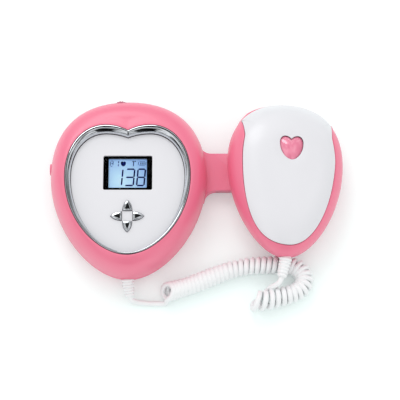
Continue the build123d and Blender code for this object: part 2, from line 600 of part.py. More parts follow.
def make_main_board():
    margin = WALL + BOARD_MARGIN
    outline = egg(MAIN_HALF_WIDTH - margin, MAIN_CROWN - margin, MAIN_TIP - margin - BOARD_TIP_MARGIN)
    board = prism(outline, BOARD_Z, BOARD_TOP)
    for x, y in MAIN_POSTS:
        board -= cylinder(SCREW_RADIUS + SCREW_CLEARANCE, BOARD_Z - 1, BOARD_TOP + 1, x, y)
    return board


def make_speaker():
    basket = cylinder(SPEAKER_RADIUS, WALL, WALL + SPEAKER_HEIGHT * SPEAKER_BASKET_SHARE, 0, SPEAKER_Y)
    magnet = cylinder(SPEAKER_RADIUS * MAGNET_SHARE, WALL, WALL + SPEAKER_HEIGHT, 0, SPEAKER_Y)
    return basket + magnet


def make_battery_cells():
    cells = []
    for side in (1, -1):
        can = CELL_LENGTH - 2 * CELL_TERMINAL_HEIGHT
        cell = Rot(0, 90, 0) * Cylinder(CELL_RADIUS, can)
        terminal_x = side * (can + CELL_TERMINAL_HEIGHT) / 2
        cell += Pos(terminal_x, 0, 0) * Rot(0, 90, 0) * Cylinder(CELL_TERMINAL_RADIUS, CELL_TERMINAL_HEIGHT)
        cells.append(Pos(0, side * CELL_Y, CELL_Z) * cell)
    return Compound(children=[cell.solid() for cell in cells])


def make_battery_contacts():
    """At each end of the bay, a spring contact for one cell and a flat one for the other."""
    base, tip, height = CONTACT_SPRING
    contacts = []
    for side in (1, -1):
        for row in (1, -1):
            leaf_x = side * (BAY_X - CONTACT_THICKNESS / 2)
            inner_x = side * (BAY_X - CONTACT_THICKNESS)
            leaf = Pos(leaf_x, row * CELL_Y, CELL_Z - 1) * Box(CONTACT_THICKNESS, CONTACT_SIZE, CONTACT_SIZE)
            if side == row:
                reach = BAY_X - CONTACT_THICKNESS - CELL_LENGTH / 2
                leaf += Pos(inner_x - side * reach / 2, row * CELL_Y, CELL_Z) * Rot(0, 90, 0) * Cylinder(
                    CONTACT_BUTTON_RADIUS, reach)
            else:
                leaf += Pos(inner_x - side * height / 2, row * CELL_Y, CELL_Z) * Rot(0, -side * 90, 0) * Cone(
                    base, tip, height)
            contacts.append(leaf)
    return Compound(children=[contact.solid() for contact in contacts])


def make_battery_door():
    gap = DOOR_GAP
    door = block(-BAY_X + gap, BAY_X - gap, -BAY_Y + gap, BAY_Y - gap, 0, DOOR_THICKNESS)
    for i in range(DOOR_GRIPS):
        y = -BAY_Y + 2 * DOOR_MARGIN + DOOR_GRIP_PITCH * i
        door -= block(-DOOR_GRIP_HALF_LENGTH, DOOR_GRIP_HALF_LENGTH, y, y + DOOR_GRIP_WIDTH, -1, DOOR_GRIP_DEPTH)
    return door


def screw(x, y, head_z, length):
    head = cylinder(SCREW_HEAD_RADIUS, head_z, head_z + SCREW_HEAD_HEIGHT, x, y)
    shank = cylinder(SCREW_RADIUS, head_z, head_z + length, x, y)
    long, thin, top = CROSS_HALF_LENGTH, CROSS_HALF_WIDTH, head_z + CROSS_DEPTH
    cross = block(x - long, x + long, y - thin, y + thin, head_z - 1, top)
    cross += block(x - thin, x + thin, y - long, y + long, head_z - 1, top)
    return (head + shank - cross).solid()


def make_case_screws():
    return Compound(children=[screw(x, y, SCREW_SINK, BOARD_TOP + SCREW_BITE) for x, y in MAIN_POSTS])


def make_dock_screws():
    return Compound(children=[screw(x, y, DOCK_SCREW_SINK, ARM_TOP - DOCK_SCREW_SHORT) for x, y in DOCK_SCREWS])


# ---------------------------------------------------------------- dock
def probe_hull(grow=0.0):
    """The outer form of the probe's underside, in the probe's own frame."""
    return domed(PROBE_HALF_WIDTH + grow, PROBE_CROWN + grow, PROBE_TIP + grow, PROBE_TUCK, PROBE_TUCK,
                 PROBE_TUCK, 0, -(PROBE_BELLY + grow))


def make_arm():
    """The arm from the casing to the foot of the dock, flared where it meets the casing."""
    arm = prism(main_egg(), ARM_BOTTOM, ARM_TOP)
    arm += block(0, PROBE_X - FOOT_HALF_WIDTH + DOCK_WALL / 2, ARM_LOW_Y, ARM_HIGH_Y, ARM_BOTTOM, ARM_TOP)
    middle = (ARM_BOTTOM + ARM_TOP) / 2
    upright = [edge for edge in arm.edges() if abs(edge.center().Z - middle) < 0.01]
    corners = [edge for edge in upright if MAIN_HALF_WIDTH / 2 < edge.center().X < MAIN_HALF_WIDTH]
    arm = fillet(corners, ARM_FLARE)
    arm &= block(MAIN_HALF_WIDTH / 2, PROBE_X, ARM_LOW_Y - ARM_FLARE, ARM_HIGH_Y + ARM_FLARE, 0, PARTING_Z)
    return arm - rear_hull(SEAM_GAP)


def make_probe_dock():
    dish = probe_hull(DOCK_GAP + DOCK_WALL)
    dish &= prism(egg(DISH_HALF_WIDTH, DISH_CROWN, DISH_TIP), -PROBE_Z - PROBE_BELLY, 0)
    foot = prism(egg(FOOT_HALF_WIDTH, FOOT_CROWN, FOOT_TIP), 0, PROBE_Z - PROBE_BELLY + 1)
    foot = Pos(PROBE_X, PROBE_Y, 0) * foot
    hollow = prism(egg(FOOT_HALF_WIDTH - DOCK_WALL, FOOT_CROWN - DOCK_WALL, FOOT_TIP - DOCK_WALL), -1,
                   PROBE_Z)
    floor = -PROBE_BELLY - DOCK_GAP - DOCK_WALL
    below = block(-PROBE_HALF_WIDTH, PROBE_HALF_WIDTH, -PROBE_TIP, PROBE_CROWN, floor - PROBE_Z, floor)
    hollow = Pos(PROBE_X, PROBE_Y, 0) * hollow & (PROBE_PLACE * below)
    tongue = block(TONGUE_X, MAIN_HALF_WIDTH, ARM_LOW_Y, ARM_HIGH_Y, ARM_BOTTOM, ARM_TOP)
    for x, y in DOCK_SCREWS:
        pilot_end = ARM_TOP - DOCK_SCREW_SHORT + DOCK_PILOT_BEYOND
        tongue -= cylinder(SCREW_RADIUS + SCREW_CLEARANCE / 3, ARM_BOTTOM - 1, pilot_end, x, y)
    dock = PROBE_PLACE * dish + foot + make_arm() + tongue
    dock -= hollow
    above = prism(egg(PROBE_HALF_WIDTH, PROBE_CROWN, PROBE_TIP), 0, PROBE_DOME)
    return dock - PROBE_PLACE * (probe_hull(DOCK_GAP) + above)


# ---------------------------------------------------------------- probe, in its own frame
def probe_dome(grow=0.0):
    return domed(PROBE_HALF_WIDTH + grow, PROBE_CROWN + grow, PROBE_TIP + grow, PROBE_SHOULDER,
                 PROBE_SHOULDER, PROBE_SHOULDER_TIP, 0, PROBE_DOME + grow, PROBE_FULLNESS, BUTTON_Y)


def cover_outline(grow=0.0):
    """The seam of the white cover, seen from above: round at the tip, open past the round end."""
    half, tip, neck, flare_x = COVER_HALF_WIDTH + grow, COVER_TIP + grow, COVER_NECK + grow, COVER_FLARE + grow
    far = PROBE_CROWN + 10
    right = [Bezier((0, -tip), (0.64 * half, -tip), (half, -0.64 * tip), (half, -2)),
             Bezier((half, -2), (half, 5), (neck + 0.6, 9), (neck, COVER_NECK_Y)),
             Line((neck, COVER_NECK_Y), (flare_x, far))]
    left = [Line((-flare_x, far), (-neck, COVER_NECK_Y)),
            Bezier((-neck, COVER_NECK_Y), (-neck - 0.6, 9), (-half, 5), (-half, -2)),
            Bezier((-half, -2), (-half, -0.64 * tip), (-0.64 * half, -tip), (0, -tip))]
    return Face(Wire(right + [Line((flare_x, far), (-flare_x, far))] + left))


def cover_region(grow=0.0):
    return prism(cover_outline(grow), COVER_SEAM_Z - grow, PROBE_DOME + 10)


def button_heart(grow=0.0):
    outline = heart(BUTTON_HALF_WIDTH + grow, BUTTON_LOBE_X, BUTTON_LOBE_RISE + grow, BUTTON_NOTCH_RISE + grow,
                    BUTTON_DROP + grow, BUTTON_Y + BUTTON_RISE)
    return Pos(BUTTON_X, 0, 0) * outline


def make_probe_lower_shell():
    outer = probe_hull() + probe_dome()
    inner = probe_hull(-PROBE_WALL) + probe_dome(-PROBE_WALL)
    shell = outer - inner - cover_region(SEAM_GAP)
    inside = probe_hull(-PROBE_WALL / 2)
    low = -PROBE_BELLY + PROBE_WALL / 2
    posts = Part() + [cylinder(PROBE_POST_RADIUS, low, 0, x, y) for x, y in PROBE_POSTS]
    upper = Part() + [cylinder(PROBE_POST_RADIUS, -1, PROBE_BOARD_Z, x, y) for x, y in PROBE_POSTS]
    shell += (posts & inside) + upper
    shell -= cylinder(LENS_RADIUS + FIT, -PROBE_BELLY - 1, -PROBE_BELLY + PROBE_WALL + 1, 0, LENS_Y)
    for x, y in PROBE_POSTS:
        shell -= cylinder(PROBE_SCREW_RADIUS + WHEEL_RUNNING_GAP, PROBE_BOARD_Z - PROBE_SCREW_REACH,
                          PROBE_BOARD_Z + 1, x, y)
    shell = PROBE_PLACE * shell
    return shell - relief_hole(PROBE_LEAD, PROBE_RELIEF_LENGTH)


def make_probe_top_cover():
    cover = (probe_dome() + probe_hull()) - (probe_dome(-PROBE_WALL) + probe_hull(-PROBE_WALL))
    cover &= cover_region()
    cover -= prism(button_heart(BUTTON_GAP), 0, PROBE_DOME + BUTTON_PROUD + 1)
    cover -= Pos(BUTTON_X, BUTTON_Y, PROBE_DOME - DIMPLE_DEPTH + DIMPLE_RADIUS) * Sphere(DIMPLE_RADIUS)
    return PROBE_PLACE * cover


def make_probe_heart_button():
    under = PROBE_DOME - PROBE_WALL - BUTTON_FLANGE_DROP
    cap = capped(button_heart, under - BUTTON_FLANGE_THICKNESS / 2, PROBE_DOME + BUTTON_PROUD, BUTTON_EDGE)
    flange = prism(button_heart(BUTTON_FLANGE), under - BUTTON_FLANGE_THICKNESS, under)
    stem_foot = PROBE_BOARD_Z + PROBE_BOARD[2] + SWITCH_HEIGHT + BUTTON_TRAVEL + SWITCH_GAP
    stem = cylinder(BUTTON_STEM_RADIUS, stem_foot, under, BUTTON_X, BUTTON_Y)
    return PROBE_PLACE * (cap + flange + stem)


def make_probe_board():
    width, length, thickness = PROBE_BOARD
    board = block(-width / 2, width / 2, -length / 2, length / 2, PROBE_BOARD_Z, PROBE_BOARD_Z + thickness)
    for x, y in PROBE_POSTS:
        board -= cylinder(PROBE_SCREW_RADIUS + SCREW_CLEARANCE, PROBE_BOARD_Z - 1,
                          PROBE_BOARD_Z + thickness + 1, x, y)
    return PROBE_PLACE * board


def make_probe_switch():
    top = PROBE_BOARD_Z + PROBE_BOARD[2]
    half = SWITCH_SIZE / 2
    body = block(BUTTON_X - half, BUTTON_X + half, BUTTON_Y - half, BUTTON_Y + half, top,
                 top + SWITCH_HEIGHT - SWITCH_PLUNGER)
    return PROBE_PLACE * (body + cylinder(PLUNGER_RADIUS, top, top + SWITCH_HEIGHT, BUTTON_X, BUTTON_Y))


def make_transducer_lens():
    lens = cylinder(LENS_RADIUS, -PROBE_BELLY, crystal_z(), 0, LENS_Y)
    lens += cylinder(LENS_RADIUS + LENS_RIM, -PROBE_BELLY + PROBE_WALL, crystal_z(), 0, LENS_Y)
    return PROBE_PLACE * lens


def crystal_z():
    """Top of the lens, where the crystals are bonded."""
    return -PROBE_BELLY + PROBE_WALL + LENS_RIM_THICKNESS


def make_transducer_crystals():
    """A transmitting and a receiving half disc, side by side."""
    disc = cylinder(CRYSTAL_RADIUS, crystal_z(), crystal_z() + CRYSTAL_THICKNESS, 0, LENS_Y)
    disc -= block(-CRYSTAL_SLOT / 2, CRYSTAL_SLOT / 2, -PROBE_TIP, PROBE_CROWN, -PROBE_BELLY, 0)
    return Compound(children=[PROBE_PLACE * half for half in disc.solids()])


def make_backing_block():
    low = crystal_z() + CRYSTAL_THICKNESS
    return PROBE_PLACE * cylinder(CRYSTAL_RADIUS, low, low + BACKING_HEIGHT, 0, LENS_Y)


def make_probe_screws():
    top = PROBE_BOARD_Z + PROBE_BOARD[2]
    screws = []
    for x, y in PROBE_POSTS:
        shape = cylinder(PROBE_SCREW_HEAD, top, top + PROBE_SCREW_HEAD_HEIGHT, x, y)
        shape += cylinder(PROBE_SCREW_RADIUS, PROBE_BOARD_Z - PROBE_SCREW_REACH, top, x, y)
        screws.append((PROBE_PLACE * shape).solid())
    return Compound(children=screws)


# ---------------------------------------------------------------- cord
def cord_tube(name, points, diameter):
    """A round tube along straight runs joined by tangent arcs, each as large as its two runs allow."""
    places = [Vector(*point) for point in points]
    radii = []
    for before, corner, after in zip(places, places[1:], places[2:]):
        run_in, run_out = corner - before, after - corner
        half_turn = math.radians(run_in.get_angle(run_out)) / 2
        radii.append(0.45 * min(run_in.length, run_out.length) / math.tan(half_turn))
    path = FilletPolyline(*places, radius=radii)
    start = Plane(origin=path @ 0, z_dir=path % 0)
    tube = sweep(start * Circle(diameter / 2), path=path)
    expected = math.pi * diameter ** 2 / 4 * path.length
    print(name, "length", round(path.length, 1), "radii", [round(r, 1) for r in radii],
          "volume/expected", round(tube.volume / expected, 4))
    return tube


# ---------------------------------------------------------------- everything, by name
def build_parts():
    main_casing = rear_hull(0.05) + front_hull(0.05)
    probe_casing = PROBE_PLACE * (probe_hull(0.05) + probe_dome(0.05))
    parts = {
        "rear_shell": make_rear_shell(),
        "front_bezel": make_front_bezel(),
        "heart_trim": make_heart_trim(),
        "face_plate": make_face_plate(),
        "display_window": make_display_window(),
        "lcd_module": make_lcd_module(),
        "key_mat": make_key_mat(),
        "main_board": make_main_board(),
        "speaker": make_speaker(),
        "battery_cells": make_battery_cells(),
        "battery_contacts": make_battery_contacts(),
        "battery_door": make_battery_door(),
        "headphone_jack": make_headphone_jack(),
        "volume_wheel": make_volume_wheel(),
        "volume_control": make_volume_control(),
        "case_screws": make_case_screws(),
        "dock_screws": make_dock_screws(),
        "probe_dock": make_probe_dock(),
        "probe_lower_shell": make_probe_lower_shell(),
        "probe_top_cover": make_probe_top_cover(),
        "probe_heart_button": make_probe_heart_button(),
        "probe_board": make_probe_board(),
        "probe_switch": make_probe_switch(),
        "transducer_lens": make_transducer_lens(),
        "transducer_crystals": make_transducer_crystals(),
        "backing_block": make_backing_block(),
        "probe_screws": make_probe_screws(),
        "relief_main": relief(MAIN_LEAD, MAIN_RELIEF_LENGTH, main_casing),
        "relief_probe": relief(PROBE_LEAD, PROBE_RELIEF_LENGTH, probe_casing),
        "cord_lead_main": cord_tube("cord_lead_main", MAIN_LEAD, WIRE),
        "cord_coil": cord_tube("cord_coil", COIL_ROUTE, COIL),
        "cord_lead_probe": cord_tube("cord_lead_probe", PROBE_LEAD, WIRE),
    }
    for name, turn in KEYS.items():
        parts[name] = make_key(turn)
    return parts


if __name__ == "__main__":
    os.makedirs("parts", exist_ok=True)
    for part_name, shape in build_parts().items():
        export_step(shape, f"parts/{part_name}.step")
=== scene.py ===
# %% [markdown]
# # A fetal doppler monitor
#
# An egg-shaped unit with a heart-shaped control panel, and an ultrasound probe that lies in a dock at its side,
# tied to it by a curly cord. The engineering model gives every size and every moving body. This lesson dresses
# that model: it builds the surfaces that the eye sees, in the same place, and gives each its finish.

# %% Load the engineering model
import math

import bmesh
import bpy
import numpy as np
from mathutils import Matrix, Vector
from mathutils.geometry import interpolate_bezier


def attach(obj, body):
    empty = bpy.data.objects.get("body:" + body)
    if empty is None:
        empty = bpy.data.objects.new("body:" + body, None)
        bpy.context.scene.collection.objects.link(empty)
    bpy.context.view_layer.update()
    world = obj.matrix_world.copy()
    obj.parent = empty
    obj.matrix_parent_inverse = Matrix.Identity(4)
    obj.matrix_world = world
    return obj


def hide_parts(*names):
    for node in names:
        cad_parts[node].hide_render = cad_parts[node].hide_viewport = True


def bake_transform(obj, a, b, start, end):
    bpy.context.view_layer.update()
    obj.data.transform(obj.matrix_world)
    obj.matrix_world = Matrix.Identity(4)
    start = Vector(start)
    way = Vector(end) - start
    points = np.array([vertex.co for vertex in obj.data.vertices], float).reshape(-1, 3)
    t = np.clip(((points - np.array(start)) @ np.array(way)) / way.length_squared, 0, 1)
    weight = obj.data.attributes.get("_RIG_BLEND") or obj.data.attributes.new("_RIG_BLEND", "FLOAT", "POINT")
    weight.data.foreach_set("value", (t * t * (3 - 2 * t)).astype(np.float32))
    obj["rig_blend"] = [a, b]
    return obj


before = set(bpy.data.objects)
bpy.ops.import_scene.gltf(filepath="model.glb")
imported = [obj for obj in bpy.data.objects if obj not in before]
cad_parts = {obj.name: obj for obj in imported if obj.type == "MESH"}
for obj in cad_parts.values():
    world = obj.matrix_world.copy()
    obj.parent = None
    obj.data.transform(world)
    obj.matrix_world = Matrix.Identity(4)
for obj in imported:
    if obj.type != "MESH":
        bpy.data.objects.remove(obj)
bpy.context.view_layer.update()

# %% [markdown]
# ## Camera
#
# The set is seen from almost straight above. A long lens from about a metre away keeps the outlines free of
# perspective. The camera leans 18 degrees towards the user's side, and its target is the middle of the set.

# %% Camera
MM = 0.001
CAMERA_TARGET = Vector((42.9, -13.25, 12.0)) * MM
CAMERA_LEAN = math.radians(18)
CAMERA_DISTANCE = 1.1

camera_data = bpy.data.cameras.new("studio_camera")
camera_data.lens = 165
camera_data.sensor_width = 36
camera_data.clip_end = 20
camera = bpy.data.objects.new("studio_camera", camera_data)
camera.rotation_euler = (CAMERA_LEAN, 0, 0)
camera.location = CAMERA_TARGET + Vector((0, -math.sin(CAMERA_LEAN), math.cos(CAMERA_LEAN))) * CAMERA_DISTANCE
bpy.context.scene.collection.objects.link(camera)
bpy.context.scene.camera = camera
bpy.context.scene.view_settings.view_transform = "Standard"
print("camera at", [round(x, 3) for x in camera.location])

# %% [markdown]
# ## Helpers for materials
#
# Colours are written as a designer writes them, as sRGB hex values, and Blender wants linear light, so one
# function turns them over. The next adds a node to a material with its settings and its links in one line, and
# the last starts a material from its main values.


# %% Material helpers
def linear(colour):
    """An sRGB hex colour as linear RGBA."""
    values = [int(colour[i:i + 2], 16) / 255 for i in (1, 3, 5)]
    return [v / 12.92 if v <= 0.04045 else ((v + 0.055) / 1.055) ** 2.4 for v in values] + [1.0]


def add_node(tree, kind, inputs=None, **settings):
    """Adds a node. An input is a plain value, or the output socket that feeds it."""
    node = tree.nodes.new(kind)
    for name, value in settings.items():
        setattr(node, name, value)
    for name, value in (inputs or {}).items():
        if isinstance(value, bpy.types.NodeSocket):
            tree.links.new(value, node.inputs[name])
        else:
            node.inputs[name].default_value = value
    return node


def start_material(name, colour, **inputs):
    """A new material with one shader, whose constant values are set on its own sockets."""
    material = bpy.data.materials.new(name)
    material.use_nodes = True
    shader = material.node_tree.nodes["Principled BSDF"]
    shader.inputs["Base Color"].default_value = linear(colour)
    for socket, value in inputs.items():
        shader.inputs[socket.replace("_", " ")].default_value = value
    return material, material.node_tree, shader


print("half grey is", round(linear("#808080")[0], 3), "in linear light")

# %% [markdown]
# ## Moulded plastics
#
# The casings are glossy ABS from a polished mould. Such plastic is never quite even: flow lines and handling leave
# the gloss a little cloudy over centimetres, and the mould's surface leaves a fine orange peel a millimetre or two
# across. Both are drawn with noise on object coordinates, whose scale is one over the size in metres. The dock's
# pink is a little lighter than the casing's, as painted light that offsets the shade on the low dock between the
# unit and the probe. The thumbwheel is a duller rose.


# %% Glossy moulded ABS
def finish(name, colour, cloud_mm, other=None, detail=2.0, spread=0.0, bump=0.0, depth_mm=0.1, grain_mm=None, **inputs):
    """A finish whose colour and gloss are cloudy, with a bump of the same pattern or of a finer grain."""
    material, tree, shader = start_material(name, colour, **inputs)
    place = add_node(tree, "ShaderNodeTexCoord").outputs["Object"]
    cloud = add_node(tree, "ShaderNodeTexNoise", {"Vector": place, "Scale": 1 / (cloud_mm * MM), "Detail": detail})
    grain = cloud
    if grain_mm:
        grain = add_node(tree, "ShaderNodeTexNoise", {"Vector": place, "Scale": 1 / (grain_mm * MM), "Detail": 1.0})
    if other:
        tint = add_node(tree, "ShaderNodeMix", {"Factor": cloud.outputs["Fac"], "A": linear(colour),
                                                "B": linear(other)}, data_type="RGBA")
        tree.links.new(tint.outputs["Result"], shader.inputs["Base Color"])
    if spread:
        low, high = inputs["Roughness"] * (1 - spread), inputs["Roughness"] * (1 + spread)
        gloss = add_node(tree, "ShaderNodeMapRange", {"Value": cloud.outputs["Fac"], "To Min": low, "To Max": high})
        tree.links.new(gloss.outputs["Result"], shader.inputs["Roughness"])
    if bump:
        surface = add_node(tree, "ShaderNodeBump", {"Height": grain.outputs["Fac"], "Strength": bump,
                                                    "Distance": depth_mm * MM})
        tree.links.new(surface.outputs["Normal"], shader.inputs["Normal"])
    return material


def moulded_plastic(name, colour, deep_colour, roughness, peel=0.02, coat=0.0, specular=0.5):
    """Glossy ABS: colour a little deeper in patches of 30 mm, and an orange peel 1.5 mm across."""
    return finish(name, colour, 30.0, deep_colour, detail=3.0, spread=0.15, bump=peel, grain_mm=1.5,
                  Roughness=roughness, Coat_Weight=coat, Coat_Roughness=0.08, IOR=1.53, Specular_IOR_Level=specular)


pink_abs = moulded_plastic("gloss_moulded_abs_pink", "#F17292", "#EE6E8D", 0.42, coat=0.2, specular=1.0)
# The dock's lighter pink is painted light: it offsets the shade that falls on the low dock between the unit and the
# probe.
dock_abs_lightened_against_shade = moulded_plastic("satin_moulded_abs_pink_lightened_against_shade", "#F57B9F", "#F2779A", 0.46, coat=0.1, specular=1.0)
wheel_abs = moulded_plastic("matt_moulded_abs_rose", "#C9788C", "#C47387", 0.5, peel=0.05)
white_abs = moulded_plastic("gloss_moulded_abs_white", "#E3E3E7", "#E0E0E4", 0.32, coat=0.15)
white_rubber = moulded_plastic("soft_cord_rubber_white", "#F6F7F8", "#F2F4F5", 0.42, peel=0.05)
black_abs = moulded_plastic("matt_moulded_abs_black", "#1C1C1F", "#242427", 0.45, peel=0.05)
print("plastics made")

# %% [markdown]
# ## Metals and small parts
#
# The bright trim and the arrow keys are ABS that is electroplated with chrome: a mirror with a slight blue cast.
# Inside there are a green glass-epoxy board, steel contacts and screws, foil-wrapped cells and a paper cone.


# %% Metals, board, cells and the other inner finishes
def plain_metal(name, colour, roughness, grain_mm, bump=0.05):
    """A metal whose gloss varies over a grain of the given size."""
    return finish(name, colour, grain_mm, spread=0.3, bump=bump, Metallic=1.0, Roughness=roughness)


def speckled(name, colour, other, grain_mm, **inputs):
    """A matt finish whose colour is broken up by grain of the given size."""
    return finish(name, colour, grain_mm, other, detail=4.0, bump=0.2, depth_mm=0.2, **inputs)


chrome = plain_metal("chrome_plated_abs", "#DDE1E6", 0.05, 8.0, bump=0.01)
steel = plain_metal("zinc_plated_steel", "#B9BCC0", 0.32, 0.8)
circuit_board = speckled("glass_epoxy_board_green", "#1F6B3A", "#2A7D45", 1.2, Roughness=0.4)
silicone = speckled("silicone_keypad_grey", "#C9CBD0", "#BFC1C7", 2.0, Roughness=0.6)
pink_silicone = speckled("polished_silicone_pink", "#F08BA6", "#EC85A1", 3.0, Roughness=0.12, Coat_Weight=1.0,
                         Specular_IOR_Level=1.0)
paper_cone = speckled("pressed_paper_cone_black", "#2A2A2C", "#3A3A3D", 0.6, Roughness=0.8)
cell_jacket = speckled("shrink_sleeve_cell_jacket", "#2B4C9A", "#3358A8", 6.0, Roughness=0.3)
lens_resin = speckled("matching_layer_epoxy", "#C8CCD2", "#BDC2C9", 2.5, Roughness=0.3)
ceramic = speckled("piezo_ceramic_silvered", "#B9A98C", "#A8987B", 1.0, Roughness=0.45)
backing = speckled("loaded_epoxy_backing", "#3A3B40", "#2D2E32", 0.8, Roughness=0.7)
lcd_frame = speckled("lcd_glass_and_bezel", "#5E6A74", "#66727C", 2.0, Roughness=0.15)
print("metals and inner finishes made")

# %% [markdown]
# ## Outlines
#
# Every casing line on this object is an egg or a heart, drawn with a few cubic Bezier curves in the plane. The
# shells below are stacks of such outlines. All of them surround one centre, so an outline can be read as a
# distance from that centre in each of 256 directions, and rings that share their directions join without a twist.

# %% Outline helpers
SEGMENTS = 256
DIRECTIONS = np.arange(SEGMENTS) * 2 * math.pi / SEGMENTS


def bezier_chain(curves):
    """Points along cubic Bezier curves that follow each other in the plane."""
    points = []
    for curve in curves:
        corners = [Vector((x, y, 0)) for x, y in curve]
        points += interpolate_bezier(*corners, 64)[:-1]
    return points


def egg(half_width, crown, tip, y=0.0):
    """An egg: rounder towards +Y, narrower towards -Y, widest at y."""
    right, top, left, bottom = (half_width, y), (0, y + crown), (-half_width, y), (0, y - tip)
    return bezier_chain([
        (right, (half_width, y + 0.62 * crown), (0.65 * half_width, y + crown), top),
        (top, (-0.65 * half_width, y + crown), (-half_width, y + 0.62 * crown), left),
        (left, (-half_width, y - 0.50 * tip), (-0.47 * half_width, y - tip), bottom),
        (bottom, (0.47 * half_width, y - tip), (half_width, y - 0.50 * tip), right)])


def heart(half_width, lobe_x, lobe_rise, notch_rise, drop, y=0.0):
    """A heart: two lobes towards +Y with a notch between them, and a rounded tip towards -Y."""
    right = [
        ((0, notch_rise), (0.30 * lobe_x, notch_rise + 0.62 * (lobe_rise - notch_rise)),
         (0.62 * lobe_x, lobe_rise), (lobe_x, lobe_rise)),
        ((lobe_x, lobe_rise), (lobe_x + 0.58 * (half_width - lobe_x), lobe_rise),
         (half_width, 0.58 * lobe_rise), (half_width, 0)),
        ((half_width, 0), (half_width, -0.60 * drop), (0.42 * half_width, -drop), (0, -drop))]
    left = [[(-px, py) for px, py in reversed(curve)] for curve in reversed(right)]
    return bezier_chain([[(px, y + py) for px, py in curve] for curve in right + left])


def reach(points, centre):
    """How far the outline is from the centre, in each of the directions."""
    x = np.array([point.x for point in points]) - centre[0]
    y = np.array([point.y for point in points]) - centre[1]
    return np.interp(DIRECTIONS, np.arctan2(y, x) % (2 * math.pi), np.hypot(x, y), period=2 * math.pi)


# %% [markdown]
# ## Building a shell from rings
#
# A ring of edges is drawn as a circle and moved onto the first outline. Then it is extruded again and again, and
# each new ring is moved onto the next outline: this is how a potter pulls up a wall, and it gives clean strips of
# four-sided faces. A layer on the vertices remembers the place of each in its ring, so they stay in order.


# %% Ring extrusion
def stack(rings, closed=False, cap_first=False, cap_last=False):
    """A bmesh from rings of points: a circle is moved onto the first, extruded, moved onto the next, and so on."""
    bm = bmesh.new()
    order = bm.verts.layers.int.new("order")
    ring = bmesh.ops.create_circle(bm, segments=len(rings[0]), radius=1.0)["verts"]
    for i, vertex in enumerate(ring):
        vertex[order] = i
    edges = first = list(bm.edges)
    if cap_first:
        bmesh.ops.contextual_create(bm, geom=first)
    for step, points in enumerate(rings):
        if step:
            made = bmesh.ops.extrude_edge_only(bm, edges=edges)["geom"]
            ring = [g for g in made if isinstance(g, bmesh.types.BMVert)]
            edges = [g for g in made if isinstance(g, bmesh.types.BMEdge)]
        for vertex in ring:
            vertex.co = points[vertex[order]]
    if closed:
        bmesh.ops.bridge_loops(bm, edges=edges + first)
    if cap_last:
        bmesh.ops.contextual_create(bm, geom=edges)
    return bm


def ring_shell(profile, centre, **options):
    """The same from pairs of radii and heights, each a number or one for every direction round the centre."""
    rings = []
    for radii, heights in profile:
        radii, heights = np.broadcast_to(radii, SEGMENTS), np.broadcast_to(heights, SEGMENTS)
        rings.append([(centre[0] + r * math.cos(a), centre[1] + r * math.sin(a), z)
                      for r, a, z in zip(radii, DIRECTIONS, heights)])
    return stack(rings, **options)


# %% [markdown]
# A finished piece is merged where points meet, turned the right way out and scaled from millimetres to metres.
# It is shaded smooth up to its sharp edges and given its finish. Then it rides on a body of the engineering model
# and stands for the nodes that it replaces there.


# %% From mesh to finished piece
def to_object(name, bm):
    """An object from a bmesh, at the origin of the scene."""
    mesh = bpy.data.meshes.new(name)
    bm.to_mesh(mesh)
    bm.free()
    obj = bpy.data.objects.new(name, mesh)
    bpy.context.scene.collection.objects.link(obj)
    return obj


def finish_piece(name, bm, material, body, stands_for, sharp=35, place=None, turn_out=True):
    """Turns a bmesh in millimetres into a finished object that rides on a body of the model."""
    bmesh.ops.remove_doubles(bm, verts=bm.verts, dist=0.0005)
    if turn_out:
        bmesh.ops.recalc_face_normals(bm, faces=bm.faces)
    bmesh.ops.transform(bm, matrix=Matrix.Scale(MM, 4) @ (place or Matrix()), verts=bm.verts)
    piece = to_object(name, bm)
    piece.data.shade_smooth()
    piece.data.set_sharp_from_angle(angle=math.radians(sharp))
    piece.data.materials.append(material)
    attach(piece, body)
    if stands_for:
        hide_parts(*stands_for)
    print(name, len(piece.data.vertices), "vertices")
    return piece


# %% [markdown]
# ## The curly cord
#
# The handset cord is one long rubber-covered wire. A straight lead comes out of the unit, then the wire was wound
# on a mandrel and baked, so that it keeps its curl, and a straight lead goes into the probe. The line that the
# curl follows is a smooth NURBS curve through the engineering model's route. The curl itself is one more run of
# points on the wire's own spline, worked out turn by turn round that line.

# %% Routes of the cord, in millimetres
MAIN_LEAD = [(1.2, -71.0, 4.7), (1.55, -73.8, 3.55), (3.7, -75.9, 2.55), (7.6, -76.4, 1.9),
             (13.0, -76.0, 1.7), (19.0, -75.5, 1.7), (24.1, -72.5, 2.5)]
COIL_ROUTE = [(20.6, -70.2, 6.2), (35.0, -65.0, 5.9), (50.0, -59.4, 5.8), (64.0, -54.6, 5.8),
              (77.5, -52.2, 5.8), (89.0, -52.0, 5.9), (96.5, -52.6, 5.8), (102.0, -54.6, 5.9),
              (105.0, -58.8, 5.8), (104.8, -64.0, 5.9), (101.5, -68.2, 5.8), (95.4, -70.6, 5.9),
              (85.1, -73.4, 5.9), (74.5, -75.9, 6.1)]
PROBE_LEAD = [(91.1, -61.9, 14.6), (90.55, -64.3, 14.2), (88.4, -66.1, 13.1), (84.5, -68.9, 10.9),
              (80.9, -71.5, 8.5)]
WIRE_DIAMETER = 3.2
POINTS_PER_TURN = 14
print("coil drawn through", len(COIL_ROUTE), "points of its route")


def nurbs(name, points, resolution=16):
    """A smooth curve object whose control points are the given points, in millimetres."""
    curve = bpy.data.curves.new(name, "CURVE")
    curve.dimensions = "3D"
    spline = curve.splines.new("NURBS")
    spline.points.add(len(points) - 1)
    for control, (x, y, z) in zip(spline.points, points):
        control.co = (x * MM, y * MM, z * MM, 1.0)
    spline.order_u = 3
    spline.use_endpoint_u = True
    curve.resolution_u = resolution
    obj = bpy.data.objects.new(name, curve)
    bpy.context.scene.collection.objects.link(obj)
    return obj


